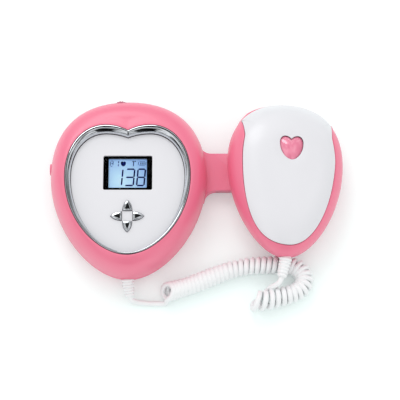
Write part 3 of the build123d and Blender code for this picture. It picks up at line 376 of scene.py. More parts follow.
def mesh_of(obj):
    """The mesh of an object with its bevel or its modifiers applied. The object is then removed."""
    bpy.context.view_layer.update()
    mesh = bpy.data.meshes.new_from_object(obj.evaluated_get(bpy.context.evaluated_depsgraph_get()))
    bpy.data.objects.remove(obj)
    return mesh


def line_points(curve_object):
    """The points of a curve's smooth line, in millimetres."""
    return [vertex.co / MM for vertex in mesh_of(curve_object).vertices]


def distances(points):
    """How far along the line each point is."""
    steps = [(b - a).length for a, b in zip(points, points[1:])]
    return np.concatenate([[0.0], np.cumsum(steps)])


# %% [markdown]
# The curl is wound tight where it was never pulled, with turns that touch, and it opens step by step towards the
# probe. Each point of it goes round the centre line by one share of a turn and forward by the same share of the
# pitch. The two directions across the line are carried along it, so that the turns don't twist. The first turn
# leans back until its open end shows, and the last one is pulled askew by the lead that comes out from under it.

# %% Wind the curl
CURL_LINE = [(22.6, -69.2, 6.6), (35.0, -65.8, 5.9), (49.7, -59.6, 5.9), (64.0, -53.9, 5.9)] + COIL_ROUTE[4:-2] + [
    (85.1, -73.4, 7.0), (79.4, -74.8, 8.4), (74.0, -75.2, 8.9)]
axis_points = line_points(nurbs("coil_axis", CURL_LINE))
axis_at = distances(axis_points)
axis_places = np.array([tuple(p) for p in axis_points])
# share of the way along, pitch, centre of the wire from the centre line, lean of the top and skew of the side
CURL_TABLE = np.array([
    (0.00, 2.80, 4.65, 0.85, 0.0), (0.03, 2.65, 4.55, 0.62, 0.0), (0.06, 2.62, 4.30, 0.38, 0.0),
    (0.10, 2.62, 4.15, 0.15, 0.0), (0.16, 2.62, 4.20, 0.00, 0.0), (0.23, 2.62, 4.25, 0.00, 0.0),
    (0.30, 2.85, 4.00, 0.00, 0.0), (0.36, 3.30, 3.80, 0.00, 0.0), (0.43, 3.45, 3.85, 0.00, 0.0),
    (0.60, 3.45, 4.05, 0.00, 0.0), (0.66, 2.70, 4.15, 0.00, 0.0), (0.78, 2.80, 4.20, 0.00, 0.0),
    (0.84, 3.60, 4.40, 0.00, 0.0), (0.93, 4.20, 4.80, 0.00, 0.1), (1.00, 4.50, 4.95, 0.00, 0.35)])

CURL_START = math.radians(262)
FORWARD_STEP = 0.5            # how far ahead and behind the direction of the line is taken


def on_axis(along):
    """The point at a distance along the centre line, or its nearer end."""
    return Vector([np.interp(along, axis_at, axis_places[:, k]) for k in range(3)])


def wind():
    """The points of the curl, from the unit's end to the last time that it is lowest at the probe's end."""
    across = Vector((0, 0, 1))
    turned_by, along, made, last = CURL_START, 0.0, [], 0
    while along < axis_at[-1]:
        here = on_axis(along)
        forward = (on_axis(along + FORWARD_STEP) - on_axis(along - FORWARD_STEP)).normalized()
        across = (across - forward * across.dot(forward)).normalized()
        side = across.cross(forward)
        pitch, radius, lean, skew = [float(np.interp(along / axis_at[-1], CURL_TABLE[:, 0], column))
                                     for column in CURL_TABLE.T[1:]]
        spoke = across * math.cos(turned_by) + side * math.sin(turned_by)
        shift = forward * radius * (lean * math.cos(turned_by) + skew * math.sin(turned_by))
        lift = max(0.0, radius + WIRE_DIAMETER / 2 - here.z)
        made.append(here + spoke * radius + shift + Vector((0, 0, lift)))
        if math.cos(turned_by) < -0.9:
            last = len(made)
        turned_by += 2 * math.pi / POINTS_PER_TURN
        along += pitch / POINTS_PER_TURN
    return made[:last]


curl = wind()
print("first and last point of the curl", [round(v, 1) for v in curl[0]], [round(v, 1) for v in curl[-1]])
UNIT_JOIN = [(1.45, -72.7, 3.9), (3.7, -73.7, 2.8), (8.0, -74.4, 1.9), (13.5, -74.8, 1.7), (19.5, -74.9, 1.7),
             (23.0, -74.8, 2.2)]
PROBE_JOIN = [(78.0, -72.6, 1.7), (81.4, -68.9, 2.8), (83.2, -67.2, 6.2), (84.7, -66.9, 9.8)]
whole = MAIN_LEAD[:1] + UNIT_JOIN + curl + PROBE_JOIN + PROBE_LEAD[2::-1]
cord_line = line_points(nurbs("cord_line", whole, resolution=3))
cord_length = distances(cord_line)[-1]
print("curl of", round(len(curl) / POINTS_PER_TURN, 1), "turns; cord", round(cord_length), "mm long")

# %% [markdown]
# The wire gets its thickness from the curve's bevel, and is then made a mesh, because the cord has to give way
# when the probe is lifted out of the dock. Along its length it passes from following the unit to following the
# probe, the way the real curl stretches.

# %% Make the cord a tube
cord_curve = nurbs("curly_cord_line", whole, resolution=3)
cord_curve.data.bevel_depth = WIRE_DIAMETER / 2 * MM
cord_curve.data.bevel_resolution = 3
cord_curve.data.use_fill_caps = True
cord_mesh = mesh_of(cord_curve)
cord_mesh.name = "curly_cord"
curly_cord = bpy.data.objects.new("curly_cord", cord_mesh)
bpy.context.scene.collection.objects.link(curly_cord)
cord_mesh.materials.append(white_rubber)
cord_mesh.shade_smooth()

HELD = 0.04                   # share of the cord at each end that follows one body alone
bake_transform(curly_cord, "base", "probe", start=Vector(MAIN_LEAD[0]) * MM, end=Vector(PROBE_LEAD[0]) * MM)
line_places = np.array([tuple(p) for p in cord_line])
line_share = distances(cord_line) / cord_length
vertex_places = np.array([tuple(v.co) for v in cord_mesh.vertices]) / MM
nearest = [int(np.argmin(((line_places - place) ** 2).sum(axis=1))) for place in vertex_places]
follow = np.clip((line_share[nearest] - HELD) / (1 - 2 * HELD), 0, 1)
cord_mesh.attributes["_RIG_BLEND"].data.foreach_set("value", (follow ** 2 * (3 - 2 * follow)).astype(np.float32))
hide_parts("cord_lead_main", "cord_coil", "cord_lead_probe")
print("cord has", len(cord_mesh.vertices), "vertices")

# %% [markdown]
# ## Front bezel
#
# The pink front is one moulding: a domed ring whose outer line is the egg of the casing and whose inner line is
# the heart of the panel. The dome is kept as a table of rings, from which the reach or the height of any line on
# it can be read.

# %% Dome of the unit
SEAM_Z, CREST_Z, DOME_TOP_Z = 12.0, 32.0, 31.5
LEDGE_Z, LEDGE_UNDERSIDE_Z = 26.0, 24.4
PANEL_CENTRE = (0.0, -5.0)
WALL = 2.2
UNIT_EGG = np.array((46.8, 47.3, 62.4))      # half width, crown and tip of the widest line
UNIT_INSET = np.array((9.8, 15.0, 9.4))      # how far inside it the crest lies
UNIT_FULLNESS = 2.4                          # 2 is a round section, more is nearer to a box
DOME_TURNS = [math.radians(90 * i / 60) for i in range(61)]


def panel_heart(side, lobe=None, notch=None, tip=None):
    """The heart of the panel, seen from the panel's centre. It grows by one amount all round, or by four."""
    if lobe is None:
        lobe = notch = tip = side
    return reach(heart(37.2 + side, 13.3, 31.2 + lobe, 27.7 + notch, 49.2 + tip, -3.8), PANEL_CENTRE)


def dome_table(grow=0.0):
    """The reach and the height of the dome's rings, from the widest line at 0 to the crest at a right angle."""
    leans = [1 - abs(math.cos(turn)) ** (2 / UNIT_FULLNESS) for turn in DOME_TURNS]
    radii = [reach(egg(*(UNIT_EGG + grow - UNIT_INSET * lean)), PANEL_CENTRE) for lean in leans]
    return np.array(radii), SEAM_Z + (DOME_TOP_Z + grow - SEAM_Z) * np.sin(DOME_TURNS)


def turn_of(radii, turns, table):
    """Where on a surface of rings each direction has the given distance from the centre."""
    return np.array([np.interp(-radii[i], -table[:, i], turns) for i in range(SEGMENTS)])


def reach_at(turn, turns, table):
    """How far a surface of rings reaches where each direction has a turn of its own."""
    return np.array([np.interp(turn[i], turns, table[:, i]) for i in range(SEGMENTS)])


def dome_strip(inner_radii, grow=0.0, steps=18):
    """Rings from an inner line down the dome to the widest line, each a share of the way in every direction."""
    radii, heights = dome_table(grow)
    start = turn_of(inner_radii, DOME_TURNS, radii)
    turns = [start * (1 - step / steps) for step in range(steps + 1)]
    return [(reach_at(turn, DOME_TURNS, radii), np.interp(turn, DOME_TURNS, heights)) for turn in turns]


def dome_height(radii):
    """The height of the dome at a distance from the centre, in each direction."""
    return np.interp(turn_of(radii, DOME_TURNS, dome_radii), DOME_TURNS, dome_heights)


dome_radii, dome_heights = dome_table()
print("dome of", len(DOME_TURNS), "rings from", SEAM_Z, "to", DOME_TOP_Z)

# %% [markdown]
# A soft ridge runs round the heart. The rings of the bezel start on the wall of the pocket, go over the ridge and
# down the dome to the seam, and come back up inside, so the moulding has its real wall. The slot of the
# thumbwheel and the hole of the headphone socket are cut out of it.

# %% Front bezel
RIDGE_STEPS = 14
WHEEL_CENTRE = (-4.6, 40.762, 22.6)
JACK_PLACE = Matrix.Translation((-44.0, 4.8, 15.0)) @ Matrix.Rotation(math.radians(90), 4, "Y")


def cylinder(radius, depth, segments, place):
    """A round cutter in its place."""
    bm = bmesh.new()
    bmesh.ops.create_cone(bm, cap_ends=True, segments=segments, radius1=radius, radius2=radius, depth=depth,
                          matrix=place)
    return bm


def cut(bm, cutters):
    """The bmesh with each cutter taken out of it, by Blender's exact boolean."""
    for solid in [bm] + cutters:
        bmesh.ops.recalc_face_normals(solid, faces=solid.faces)
    body = to_object("being_cut", bm)
    for i, cutter in enumerate(cutters):
        modifier = body.modifiers.new(f"cut_{i}", "BOOLEAN")
        modifier.operation = "DIFFERENCE"
        modifier.solver = "EXACT"
        modifier.object = to_object(f"cutter_{i}", cutter)
    used = [modifier.object for modifier in body.modifiers]
    result = bmesh.new()
    result.from_mesh(mesh_of(body))
    for cutter in used:
        bpy.data.objects.remove(cutter)
    return result


ridge_foot = panel_heart(4.2) + 3.2 * np.clip(np.sin(DIRECTIONS), 0, 1) ** 3
ridge_start = panel_heart(0.6)
stand = CREST_Z - dome_height(ridge_start)
ridge = [(panel_heart(grow), z) for grow, z in ((0.0, LEDGE_Z), (0.0, 31.45), (0.1, 31.8), (0.3, 31.97))]
for step in range(RIDGE_STEPS):
    share = step / RIDGE_STEPS
    line = ridge_start + (ridge_foot - ridge_start) * share
    ridge.append((line, dome_height(line) + stand * (1 - share * share * (3 - 2 * share))))
seam = [(reach(egg(*(UNIT_EGG - inset)), PANEL_CENTRE), SEAM_Z + rise) for inset, rise in ((0.05, 0.15), (0.3, 0.02))]
pocket = [(panel_heart(grow), z) for grow, z in ((1.5, 28.0), (1.5, LEDGE_UNDERSIDE_Z), (-2.4, LEDGE_UNDERSIDE_Z),
                                                 (-2.4, LEDGE_Z))]
inner_strip = dome_strip(panel_heart(3.0), -WALL)[::-1]
bezel = ring_shell(ridge + dome_strip(ridge_foot)[:-1] + seam + inner_strip[:-1] + pocket, PANEL_CENTRE, closed=True)
bezel = cut(bezel, [cylinder(5.15, 3.3, 64, Matrix.Translation(WHEEL_CENTRE)), cylinder(2.75, 16, 48, JACK_PLACE)])
finish_piece("front_bezel_moulding", bezel, pink_abs, "base", ["front_bezel"])

# %% [markdown]
# The headphone socket sits behind a small raised collar on the left flank. It is a ring turned round the socket's
# axis, and the bezel's seam cuts off its lower part.


# %% Collar of the headphone socket
def turned(profile, steps, closed=False):
    """A bmesh from a line of (radius, height) points, spun round the upright axis."""
    bm = bmesh.new()
    corners = [bm.verts.new((radius, 0, z)) for radius, z in profile]
    edges = [bm.edges.new(pair) for pair in zip(corners, corners[1:] + (corners[:1] if closed else []))]
    bmesh.ops.spin(bm, geom=corners + edges, cent=(0, 0, 0), axis=(0, 0, 1), dvec=(0, 0, 0), angle=2 * math.pi,
                   steps=steps, use_merge=True)
    return bm


collar = turned([(2.75, 2.5), (2.75, -2.9), (2.9, -3.15), (3.15, -3.2), (3.35, -3.1), (3.5, -2.8), (3.5, 2.5)], 48,
                closed=True)
bmesh.ops.transform(collar, matrix=JACK_PLACE, verts=collar.verts)
bmesh.ops.bisect_plane(collar, geom=collar.verts[:] + collar.edges[:] + collar.faces[:],
                       plane_co=(0, 0, SEAM_Z + 0.05), plane_no=(0, 0, 1), clear_inner=True)
bmesh.ops.holes_fill(collar, edges=[edge for edge in collar.edges if edge.is_boundary], sides=0)
finish_piece("jack_collar", collar, pink_abs, "base", (), sharp=50)

# %% [markdown]
# ## Heart trim
#
# A chrome-plated frame is pressed into the pocket. From its narrow lip its inner face falls to the panel in a
# full, rounded curve, which is what gathers the whole studio in a band of light and dark.

# %% Heart trim
TRIM_TOP, TRIM_FOOT, PLATE_TOP = 32.3, 29.3, 28.0
TRIM_WIDTHS = (3.2, 4.3, 3.4, 1.9)           # at the sides, the lobes, the notch and the tip
TRIM_LIP = 0.72
TRIM_STEPS = 14


def trim_line(share, grow=0.0):
    """The inner line of the trim: at 0 on the panel, at 1 at its lip."""
    return panel_heart(*[grow - width - (TRIM_LIP - width) * share for width in TRIM_WIDTHS])


trim_profile = [(panel_heart(-0.12), PLATE_TOP), (panel_heart(-0.12), TRIM_TOP - 0.25),
                (panel_heart(-0.2), TRIM_TOP - 0.06), (panel_heart(-0.35), TRIM_TOP)]
for step in range(TRIM_STEPS + 1):
    turn = math.radians(90 * step / TRIM_STEPS)
    trim_profile.append((trim_line(1 - math.sin(turn)), TRIM_FOOT + (TRIM_TOP - TRIM_FOOT) * math.cos(turn)))
trim_profile.append((trim_line(0.0), PLATE_TOP))
trim = ring_shell(trim_profile, PANEL_CENTRE, closed=True)
finish_piece("heart_trim_plated", trim, chrome, "base", ["heart_trim"], sharp=50)

# %% [markdown]
# On both sides of the trim a hairline of dark material is painted shade: it stands for the shadow in the joint,
# so that the white panel and the pink casing each end at a fine dark line.

# %% Painted shadow lines beside the trim
# The dark colour of these lines is painted shade: it stands for the shadow in the gaps beside the trim and round the
# keys.
gap_shadow_paint = speckled("painted_gap_shadow_dark", "#3A2A30", "#30222A", 0.6, Roughness=0.8, Specular_IOR_Level=0.1)
for name, outside, inside, low, high in [("painted_shadow_line_outside", panel_heart(0.22), panel_heart(-0.16), 31.4, 32.03),
                                         ("painted_shadow_line_inside", trim_line(0, 0.1), trim_line(0, -0.3), 27.9, 28.05)]:
    line = ring_shell([(outside, low), (outside, high), (inside, high), (inside, low)], PANEL_CENTRE, closed=True)
    finish_piece(name, line, gap_shadow_paint, "base", ())

# %% [markdown]
# ## Face plate, window and display
#
# The white panel is a flat moulding that clips in under the trim. Its window is a clear acrylic pane that is
# printed black on its underside, round the opening. Below it lies the display, lit from behind.

# %% Face plate with its openings
WINDOW_CENTRE = (0.0, -1.4)
KEY_CENTRE_Y, KEY_REACH, KEY_WIDTH, KEY_LENGTH = -28.4, 6.6, 5.4, 6.5
KEYS = {"key_up": 0, "key_left": 90, "key_down": 180, "key_right": 270}


def rounded_plate(width, length, corner, z_from, z_to, centre):
    """A flat plate with rounded corners: a square is stretched and its upright edges are bevelled."""
    bm = bmesh.new()
    bmesh.ops.create_cube(bm, size=1.0)
    bmesh.ops.scale(bm, vec=(width, length, z_to - z_from), verts=bm.verts)
    upright = [edge for edge in bm.edges if abs(edge.verts[0].co.z - edge.verts[1].co.z) > 0.01]
    bmesh.ops.bevel(bm, geom=upright, offset=corner, affect="EDGES", segments=6, profile=0.5, material=-1)
    bmesh.ops.translate(bm, vec=(centre[0], centre[1], (z_from + z_to) / 2), verts=bm.verts)
    return bm


def key_line(grow):
    """A key's outline, flat at the back and rounded to a point in front: one flank and its mirror image."""
    half, back, point = KEY_WIDTH / 2 + grow, -KEY_LENGTH / 2 - grow, KEY_LENGTH / 2 + grow
    length = point - back
    side = [(half, back), (half, back + 0.6 * length), (0.34 * half, point - 0.12 * length), (0, point)]
    flank = interpolate_bezier(*[Vector((x, y, 0)) for x, y in side], 20)
    return flank + [Vector((-p.x, p.y, 0)) for p in reversed(flank[:-1])]


def key_stack(profile, turn, **options):
    """A stack of a key's outlines in the key's place, each grown by so much at such a height."""
    bm = stack([[(p.x, p.y, z) for p in key_line(grow)] for grow, z in profile], **options)
    place = (Matrix.Translation((0, KEY_CENTRE_Y, 0)) @ Matrix.Rotation(math.radians(turn), 4, "Z")
             @ Matrix.Translation((0, KEY_REACH, 0)))
    bmesh.ops.transform(bm, matrix=place, verts=bm.verts)
    return bm


plate = ring_shell([(panel_heart(-0.12), LEDGE_Z), (panel_heart(-0.12), PLATE_TOP)], PANEL_CENTRE, cap_first=True,
                   cap_last=True)
openings = [key_stack([(0.2, 25.0), (0.2, 29.0)], turn, cap_first=True, cap_last=True) for turn in KEYS.values()]
openings.append(rounded_plate(29.2, 21.4, 1.0, 26.8, 29.0, WINDOW_CENTRE))
openings.append(rounded_plate(26.0, 18.2, 0.3, 25.0, 27.5, WINDOW_CENTRE))
finish_piece("face_plate_moulding", cut(plate, openings), white_abs, "base", ["face_plate"])

# %% [markdown]
# The window's black print is a thin frame of its own at the underside of the clear pane, so that the display
# below it shows with a little depth, as on the real thing. The pane hardly bends light, because a stronger one
# would lay a grey veil over the print.

# %% Window: clear pane and printed border
pane_acrylic = finish("clear_acrylic_window", "#FFFFFF", 12.0, spread=0.6, Roughness=0.025, IOR=1.02,
                      Transmission_Weight=1.0)
print_black = moulded_plastic("screen_printed_black", "#030304", "#050506", 0.6, peel=0.01, specular=0.05)


def round_sharp_edges(bm, angle, offset):
    """Bevels every edge whose faces meet at more than the angle."""
    edges = [edge for edge in bm.edges if edge.is_manifold and edge.calc_face_angle(0) > math.radians(angle)]
    bmesh.ops.bevel(bm, geom=edges, offset=offset, affect="EDGES", segments=2, profile=0.5, material=-1,
                    clamp_overlap=True)


pane = rounded_plate(28.96, 21.16, 1.0, 27.0, PLATE_TOP, WINDOW_CENTRE)
round_sharp_edges(pane, 50, 0.12)
finish_piece("window_pane", pane, pane_acrylic, "base", ["display_window"])
border = cut(rounded_plate(28.9, 21.1, 1.0, 26.81, 26.9, WINDOW_CENTRE),
             [rounded_plate(22.7, 18.0, 0.3, 26.0, 28.0, (-0.05, -1.4))])
finish_piece("window_printed_border", border, print_black, "base", ())

# %% [markdown]
# A display with a blue backlight is a flat lamp behind a liquid-crystal sheet. The lamp is brightest off its
# middle, so its colour comes from a soft gradient.

# %% Backlit display
DISPLAY_TOP = 25.6
backlight, tree, shader = start_material("blue_backlight", "#9FC8EC", Roughness=0.7, Specular_IOR_Level=0.05)
place = add_node(tree, "ShaderNodeTexCoord").outputs["Object"]
middle = add_node(tree, "ShaderNodeVectorMath", {0: place, 1: (-0.004, -0.006, 0.0256)}, operation="DISTANCE")
spread = add_node(tree, "ShaderNodeMapRange", {"Value": middle.outputs["Value"], "From Max": 0.016})
glow = add_node(tree, "ShaderNodeMix", {"Factor": spread.outputs["Result"], "A": linear("#BFE3F6"),
                                        "B": linear("#8FB4E4")}, data_type="RGBA")
tree.links.new(glow.outputs["Result"], shader.inputs["Emission Color"])
shader.inputs["Emission Strength"].default_value = 0.44
tree.links.new(glow.outputs["Result"], shader.inputs["Base Color"])
screen = rounded_plate(26.0, 18.2, 0.2, DISPLAY_TOP + 0.02, DISPLAY_TOP + 0.12, WINDOW_CENTRE)
finish_piece("display_backlight", screen, backlight, "base", ())

# %% [markdown]
# The figures are dark because the crystal blocks the lamp there. They and the small marks above them are made of
# bars with pointed ends that lean a little to the right.

# %% Figures and marks
lcd_ink = moulded_plastic("liquid_crystal_dark_blue", "#0E1A5A", "#122066", 0.7, peel=0.01, specular=0.05)
lcd_ink_faint = moulded_plastic("liquid_crystal_half_lit", "#4C6CA2", "#5272A8", 0.7, peel=0.01, specular=0.05)
SLANT = 0.08                  # how far the figures lean to the right, as a share of their height
BAR = 0.92                    # thickness of a bar of a figure


def bar(bm, x, y, length, upright, thickness=BAR):
    """One bar of a figure: a six-sided plate with pointed ends."""
    ring = bmesh.ops.create_circle(bm, cap_ends=True, segments=6, radius=1.0)["verts"]
    for vertex in ring:
        side, forward = round(vertex.co.x, 3), round(vertex.co.y, 3)
        along = math.copysign(length / 2 - (0 if abs(forward) > 0.9 else thickness / 2), forward)
        across = math.copysign(thickness / 2, side) if abs(side) > 0.1 else 0.0
        px, py = (across, along) if upright else (along, across)
        vertex.co = (x + px + SLANT * (y + py), y + py, 0)


def figure(bm, digit, x, width=4.9, height=10.2):
    """A seven-bar figure whose lower left corner is at x."""
    half, gap = height / 2, 0.25
    level_bars = {"a": height, "g": half, "d": 0.0}
    upright_bars = {"b": (width, 1.5), "c": (width, 0.5), "e": (0.0, 0.5), "f": (0.0, 1.5)}
    for name in {"1": "bc", "3": "abcdg", "8": "abcdefg"}[digit]:
        if name in level_bars:
            bar(bm, x + width / 2, level_bars[name], width - gap, False)
        else:
            side, share = upright_bars[name]
            bar(bm, x + side, half * share, half - gap, True)


def raise_ink(bm, centre):
    """Gives flat ink its thickness and puts it on the display."""
    made = bmesh.ops.extrude_face_region(bm, geom=list(bm.faces))["geom"]
    bmesh.ops.translate(bm, vec=(0, 0, 0.06), verts=[g for g in made if isinstance(g, bmesh.types.BMVert)])
    bmesh.ops.translate(bm, vec=(*centre, DISPLAY_TOP + 0.12), verts=bm.verts)
    return bm


figures = bmesh.new()
figure(figures, "1", -8.66)
figure(figures, "3", -1.66)
figure(figures, "8", 5.25, width=4.35)
finish_piece("display_figures", raise_ink(figures, (0, -8.65)), lcd_ink, "base", ())

marks = bmesh.new()
for x, y, length, upright in [(-5.7, 0.9, 1.4, True), (-5.7, -1.0, 1.4, True), (2.9, 1.5, 1.1, False),
                              (4.1, 1.5, 1.1, False), (3.3, -0.2, 3.0, True), (7.5, 0.15, 1.2, True),
                              (8.5, 0.15, 1.2, True), (9.5, 0.15, 1.2, True)]:
    bar(marks, x, y, length, upright, 0.5)
small_heart = heart(1.55, 0.72, 1.0, 0.55, 2.0, 0.4)
ring = bmesh.ops.create_circle(marks, cap_ends=True, segments=len(small_heart), radius=1.0)["verts"]
for vertex, point in zip(ring, small_heart):
    vertex.co = (point.x - 2.75, point.y, 0)
finish_piece("display_marks", raise_ink(marks, (0, 5.0)), lcd_ink, "base", ())

faint_marks = bmesh.new()
for x, y, length, upright in [(6.2, 0.15, 1.9, True), (10.6, 0.15, 1.9, True), (8.4, 1.15, 3.6, False),
                              (8.4, -0.85, 3.6, False), (-10.4, 0.0, 2.6, True), (-8.9, 0.3, 2.6, True),
                              (-9.6, 1.7, 1.3, False), (-9.7, -1.6, 1.3, False), (-9.3, 0.1, 1.2, False)]:
    bar(faint_marks, x, y, length, upright, 0.42)
finish_piece("display_faint_marks", raise_ink(faint_marks, (0, 5.0)), lcd_ink_faint, "base", ())

# %% [markdown]
# ## Arrow keys
#
# Four plated keys point away from each other. Each is a small dome on its outline: a stack of shrinking copies of
# the outline, rounded at the edge and gently crowned on top. A thin dark ring round each is painted shade: it
# stands for the shadow in the key's gap.

# %% Arrow keys
KEY_TOP = PLATE_TOP + 1.4
KEY_PROFILE = [(0.8, 24.95), (0.8, 25.85), (0.0, 25.86), (0.0, KEY_TOP - 0.75), (-0.06, KEY_TOP - 0.5),
               (-0.22, KEY_TOP - 0.3), (-0.45, KEY_TOP - 0.2), (-1.0, KEY_TOP - 0.1), (-1.6, KEY_TOP - 0.03),
               (-2.2, KEY_TOP)]
# The dark rings round the keys are painted shade: they stand for the shadow in each key's gap.
KEY_GAP_SHADOW_PROFILE = [(0.3, PLATE_TOP - 0.6), (0.3, PLATE_TOP + 0.03), (0.1, PLATE_TOP + 0.03), (0.1, PLATE_TOP - 0.6)]
key_gap_shadows = bmesh.new()
for turn in KEYS.values():
    shadow_ring = to_object("key_gap_painted_shadow", key_stack(KEY_GAP_SHADOW_PROFILE, turn, closed=True))
    key_gap_shadows.from_mesh(shadow_ring.data)
    bpy.data.objects.remove(shadow_ring)
finish_piece("key_gap_painted_shadow_lines", key_gap_shadows, gap_shadow_paint, "base", ())
for name, turn in KEYS.items():
    cap = key_stack(KEY_PROFILE, turn, cap_first=True, cap_last=True)
    finish_piece(name + "_cap", cap, chrome, name, [name], sharp=50)

# %% [markdown]
# ## Probe
#
# The probe's casing is a fuller dome than the unit's: in section it is nearer to a rounded box. One table of rings
# runs from its crest over the widest line to its flat belly. The white cover takes the part inside its seam, and
# the pink shell takes the rest, so the two always meet.

# %% Probe surface
PROBE_CENTRE = (0.0, 4.9)
PROBE_PLACE = Matrix.Translation((93.9, 7.4, 17.8)) @ Matrix.Rotation(math.radians(8.5), 4, "Y")
PROBE_EGG = np.array((34.9, 36.4, 58.2))     # half width, crown and tip of the widest line
PROBE_INSET = np.array((30.0, 34.9, 47.1))   # how far inside it the last ring under the crest lies
BELLY_INSET = 13.0
PROBE_DOME, PROBE_BELLY = 18.0, 12.0         # height above and depth below the widest line
PROBE_FULLNESS = 2.45
SURFACE_TURNS = [math.radians(a) for a in range(-90, 91)]
WIDEST = 90                                  # which of them is the widest line


def probe_ring(turn):
    """A ring of the probe: at 0 the widest line, at a right angle the crest, below 0 the underside."""
    if turn < 0:
        return (reach(egg(*(PROBE_EGG - BELLY_INSET * (1 - math.cos(turn)))), PROBE_CENTRE),
                PROBE_BELLY * math.sin(turn))
    lean, up = 1 - abs(math.cos(turn)) ** (2 / PROBE_FULLNESS), math.sin(turn) ** (2 / PROBE_FULLNESS)
    return reach(egg(*(PROBE_EGG - PROBE_INSET * lean), PROBE_CENTRE[1] * lean), PROBE_CENTRE), PROBE_DOME * up


surface = [probe_ring(turn) for turn in SURFACE_TURNS]
surface_radii = np.array([r for r, z in surface])
surface_heights = np.array([z for r, z in surface])
print("probe table of", len(surface), "rings")


def dimpled(radii, heights, blend=0.3):
    """A shallow finger dimple round the button: the lower of the dome and a wide sphere, softly joined."""
    sphere = 17.1 + radii ** 2 / 140
    mix = np.clip(0.5 + 0.5 * (heights - sphere) / blend, 0, 1)
    return heights * (1 - mix) + sphere * mix - blend * mix * (1 - mix)


def surface_strip(start, end, steps):
    """Rings that run from one place on the surface to another, direction by direction."""
    strip = []
    for step in range(steps + 1):
        turn = start + (end - start) * step / steps
        radii = reach_at(turn, SURFACE_TURNS, surface_radii)
        strip.append((radii, dimpled(radii, np.interp(turn, SURFACE_TURNS, surface_heights))))
    return strip


def turn_at(radii):
    """Where on the surface, above its widest line, each direction has the given distance from the centre."""
    return turn_of(radii, SURFACE_TURNS[WIDEST:], surface_radii[WIDEST:])


def cover_seam():
    """The seam of the white cover: round at the tip, open past the round end."""
    half, tip, neck, flare, far = 27.9, 53.2, 26.3, 29.1, 46.4
    low_right = [((0, -tip), (0.50 * half, -tip), (0.92 * half, -0.60 * tip), (half, -2))]
    low_left = [((-half, -2), (-half, -0.64 * tip), (-0.64 * half, -tip), (0, -tip))]
    high = [((half, -2), (half, 5), (neck + 0.6, 9), (neck, 13.2)),
            ((neck, 13.2), (neck + (flare - neck) / 3, 13.2 + (far - 13.2) / 3),
             (flare - (flare - neck) / 3, far - (far - 13.2) / 3), (flare, far))]
    across = [((flare, far), (flare / 3, far), (-flare / 3, far), (-flare, far))]
    high_left = [[(-x, y) for x, y in reversed(curve)] for curve in reversed(high)]
    return reach(bezier_chain(low_right + high + across + high_left + low_left), PROBE_CENTRE)


# %% [markdown]
# The cover's strip starts at the heart-shaped hole of the button and ends at the seam. Solidify gives it the wall
# of the moulding, and a small bevel breaks the edges, because no moulded edge is sharp.

# %% Probe cover
BUTTON_X = 0.8
PROBE_WALL = 2.0
SEAM_END = math.radians(-4.8)                # where the cover ends past the round end, just under the widest line
SEAM_GAP = 0.2


def button_heart(grow=0.0):
    """The heart of the button, seen from the probe's centre."""
    outline = heart(6.9 + grow, 3.7, 4.0 + grow, 2.3 + grow, 10.4 + grow, 7.7)
    return reach([point + Vector((BUTTON_X, 0, 0)) for point in outline], PROBE_CENTRE)


def walled(profile, edge, up):
    """An open strip of rings with the probe's wall, its thickness inwards, and broken edges."""
    bm = ring_shell(profile, PROBE_CENTRE)
    bmesh.ops.recalc_face_normals(bm, faces=bm.faces)
    if sum(face.normal.z * face.calc_area() for face in bm.faces) * up < 0:
        bmesh.ops.reverse_faces(bm, faces=bm.faces)
    bmesh.ops.solidify(bm, geom=list(bm.faces), thickness=PROBE_WALL)
    round_sharp_edges(bm, 60, edge)
    return bm


def seam_turn(gap=0.0):
    """Where the seam runs: on the dome, or past the widest line at the round end."""
    widest = surface_radii[WIDEST]
    return np.where(seam_radii < widest - 0.05, turn_at(np.minimum(seam_radii + gap, widest)), SEAM_END)


seam_radii = cover_seam()
button_hole = button_heart(SEAM_GAP)
cover_strip = surface_strip(turn_at(button_hole), seam_turn(), 44)
cover_strip.insert(0, (button_hole, dimpled(button_hole, cover_strip[0][1])))
finish_piece("probe_cover_moulding", walled(cover_strip, 0.25, 1), white_abs, "probe", ["probe_top_cover"],
             place=PROBE_PLACE)

# %% [markdown]
# The shell starts a hair below the cover's seam and runs round the widest line to the flat belly, where it leaves
# a round hole for the sound window. Under the round end of the cover it stands out in a soft lip.

# %% Probe lower shell
LIP = 1.6
LIP_SHARES = (1.0, 1.0, 0.97, 0.9, 0.78, 0.64, 0.48, 0.32, 0.17, 0.06)      # ring by ring, from the seam down
LIP_FROM, LIP_TO, LIP_RUN_OUT = math.radians(30), math.radians(150), 0.35
LENS_RADIUS, LENS_Y = 17.12, -2.0
lens_edge = [2 * math.pi * i / 180 for i in range(180)]
lens_hole = reach([Vector((math.cos(a), math.sin(a), 0)) * LENS_RADIUS + Vector((0, LENS_Y, 0)) for a in lens_edge],
                  PROBE_CENTRE)
lower = surface_strip(seam_turn(SEAM_GAP) - math.radians(0.8), np.full(SEGMENTS, math.radians(-90)), 40)
round_end = np.clip((DIRECTIONS - LIP_FROM) / LIP_RUN_OUT, 0, 1) * np.clip((LIP_TO - DIRECTIONS) / LIP_RUN_OUT, 0, 1)
for step, share in enumerate(LIP_SHARES):
    lower[step] = (lower[step][0] + LIP * share * round_end, lower[step][1])
lower_shell = walled(lower + [(lens_hole, -PROBE_BELLY)], 0.3, -1)
finish_piece("probe_shell_moulding", lower_shell, pink_abs, "probe", ["probe_lower_shell"],
             place=PROBE_PLACE)

# %% [markdown]
# ## Heart button
#
# The probe's one button is a heart of clear-coated pink silicone, crowned like a sweet, so that it holds one
# bright highlight. Its rings shrink towards the middle as they rise.

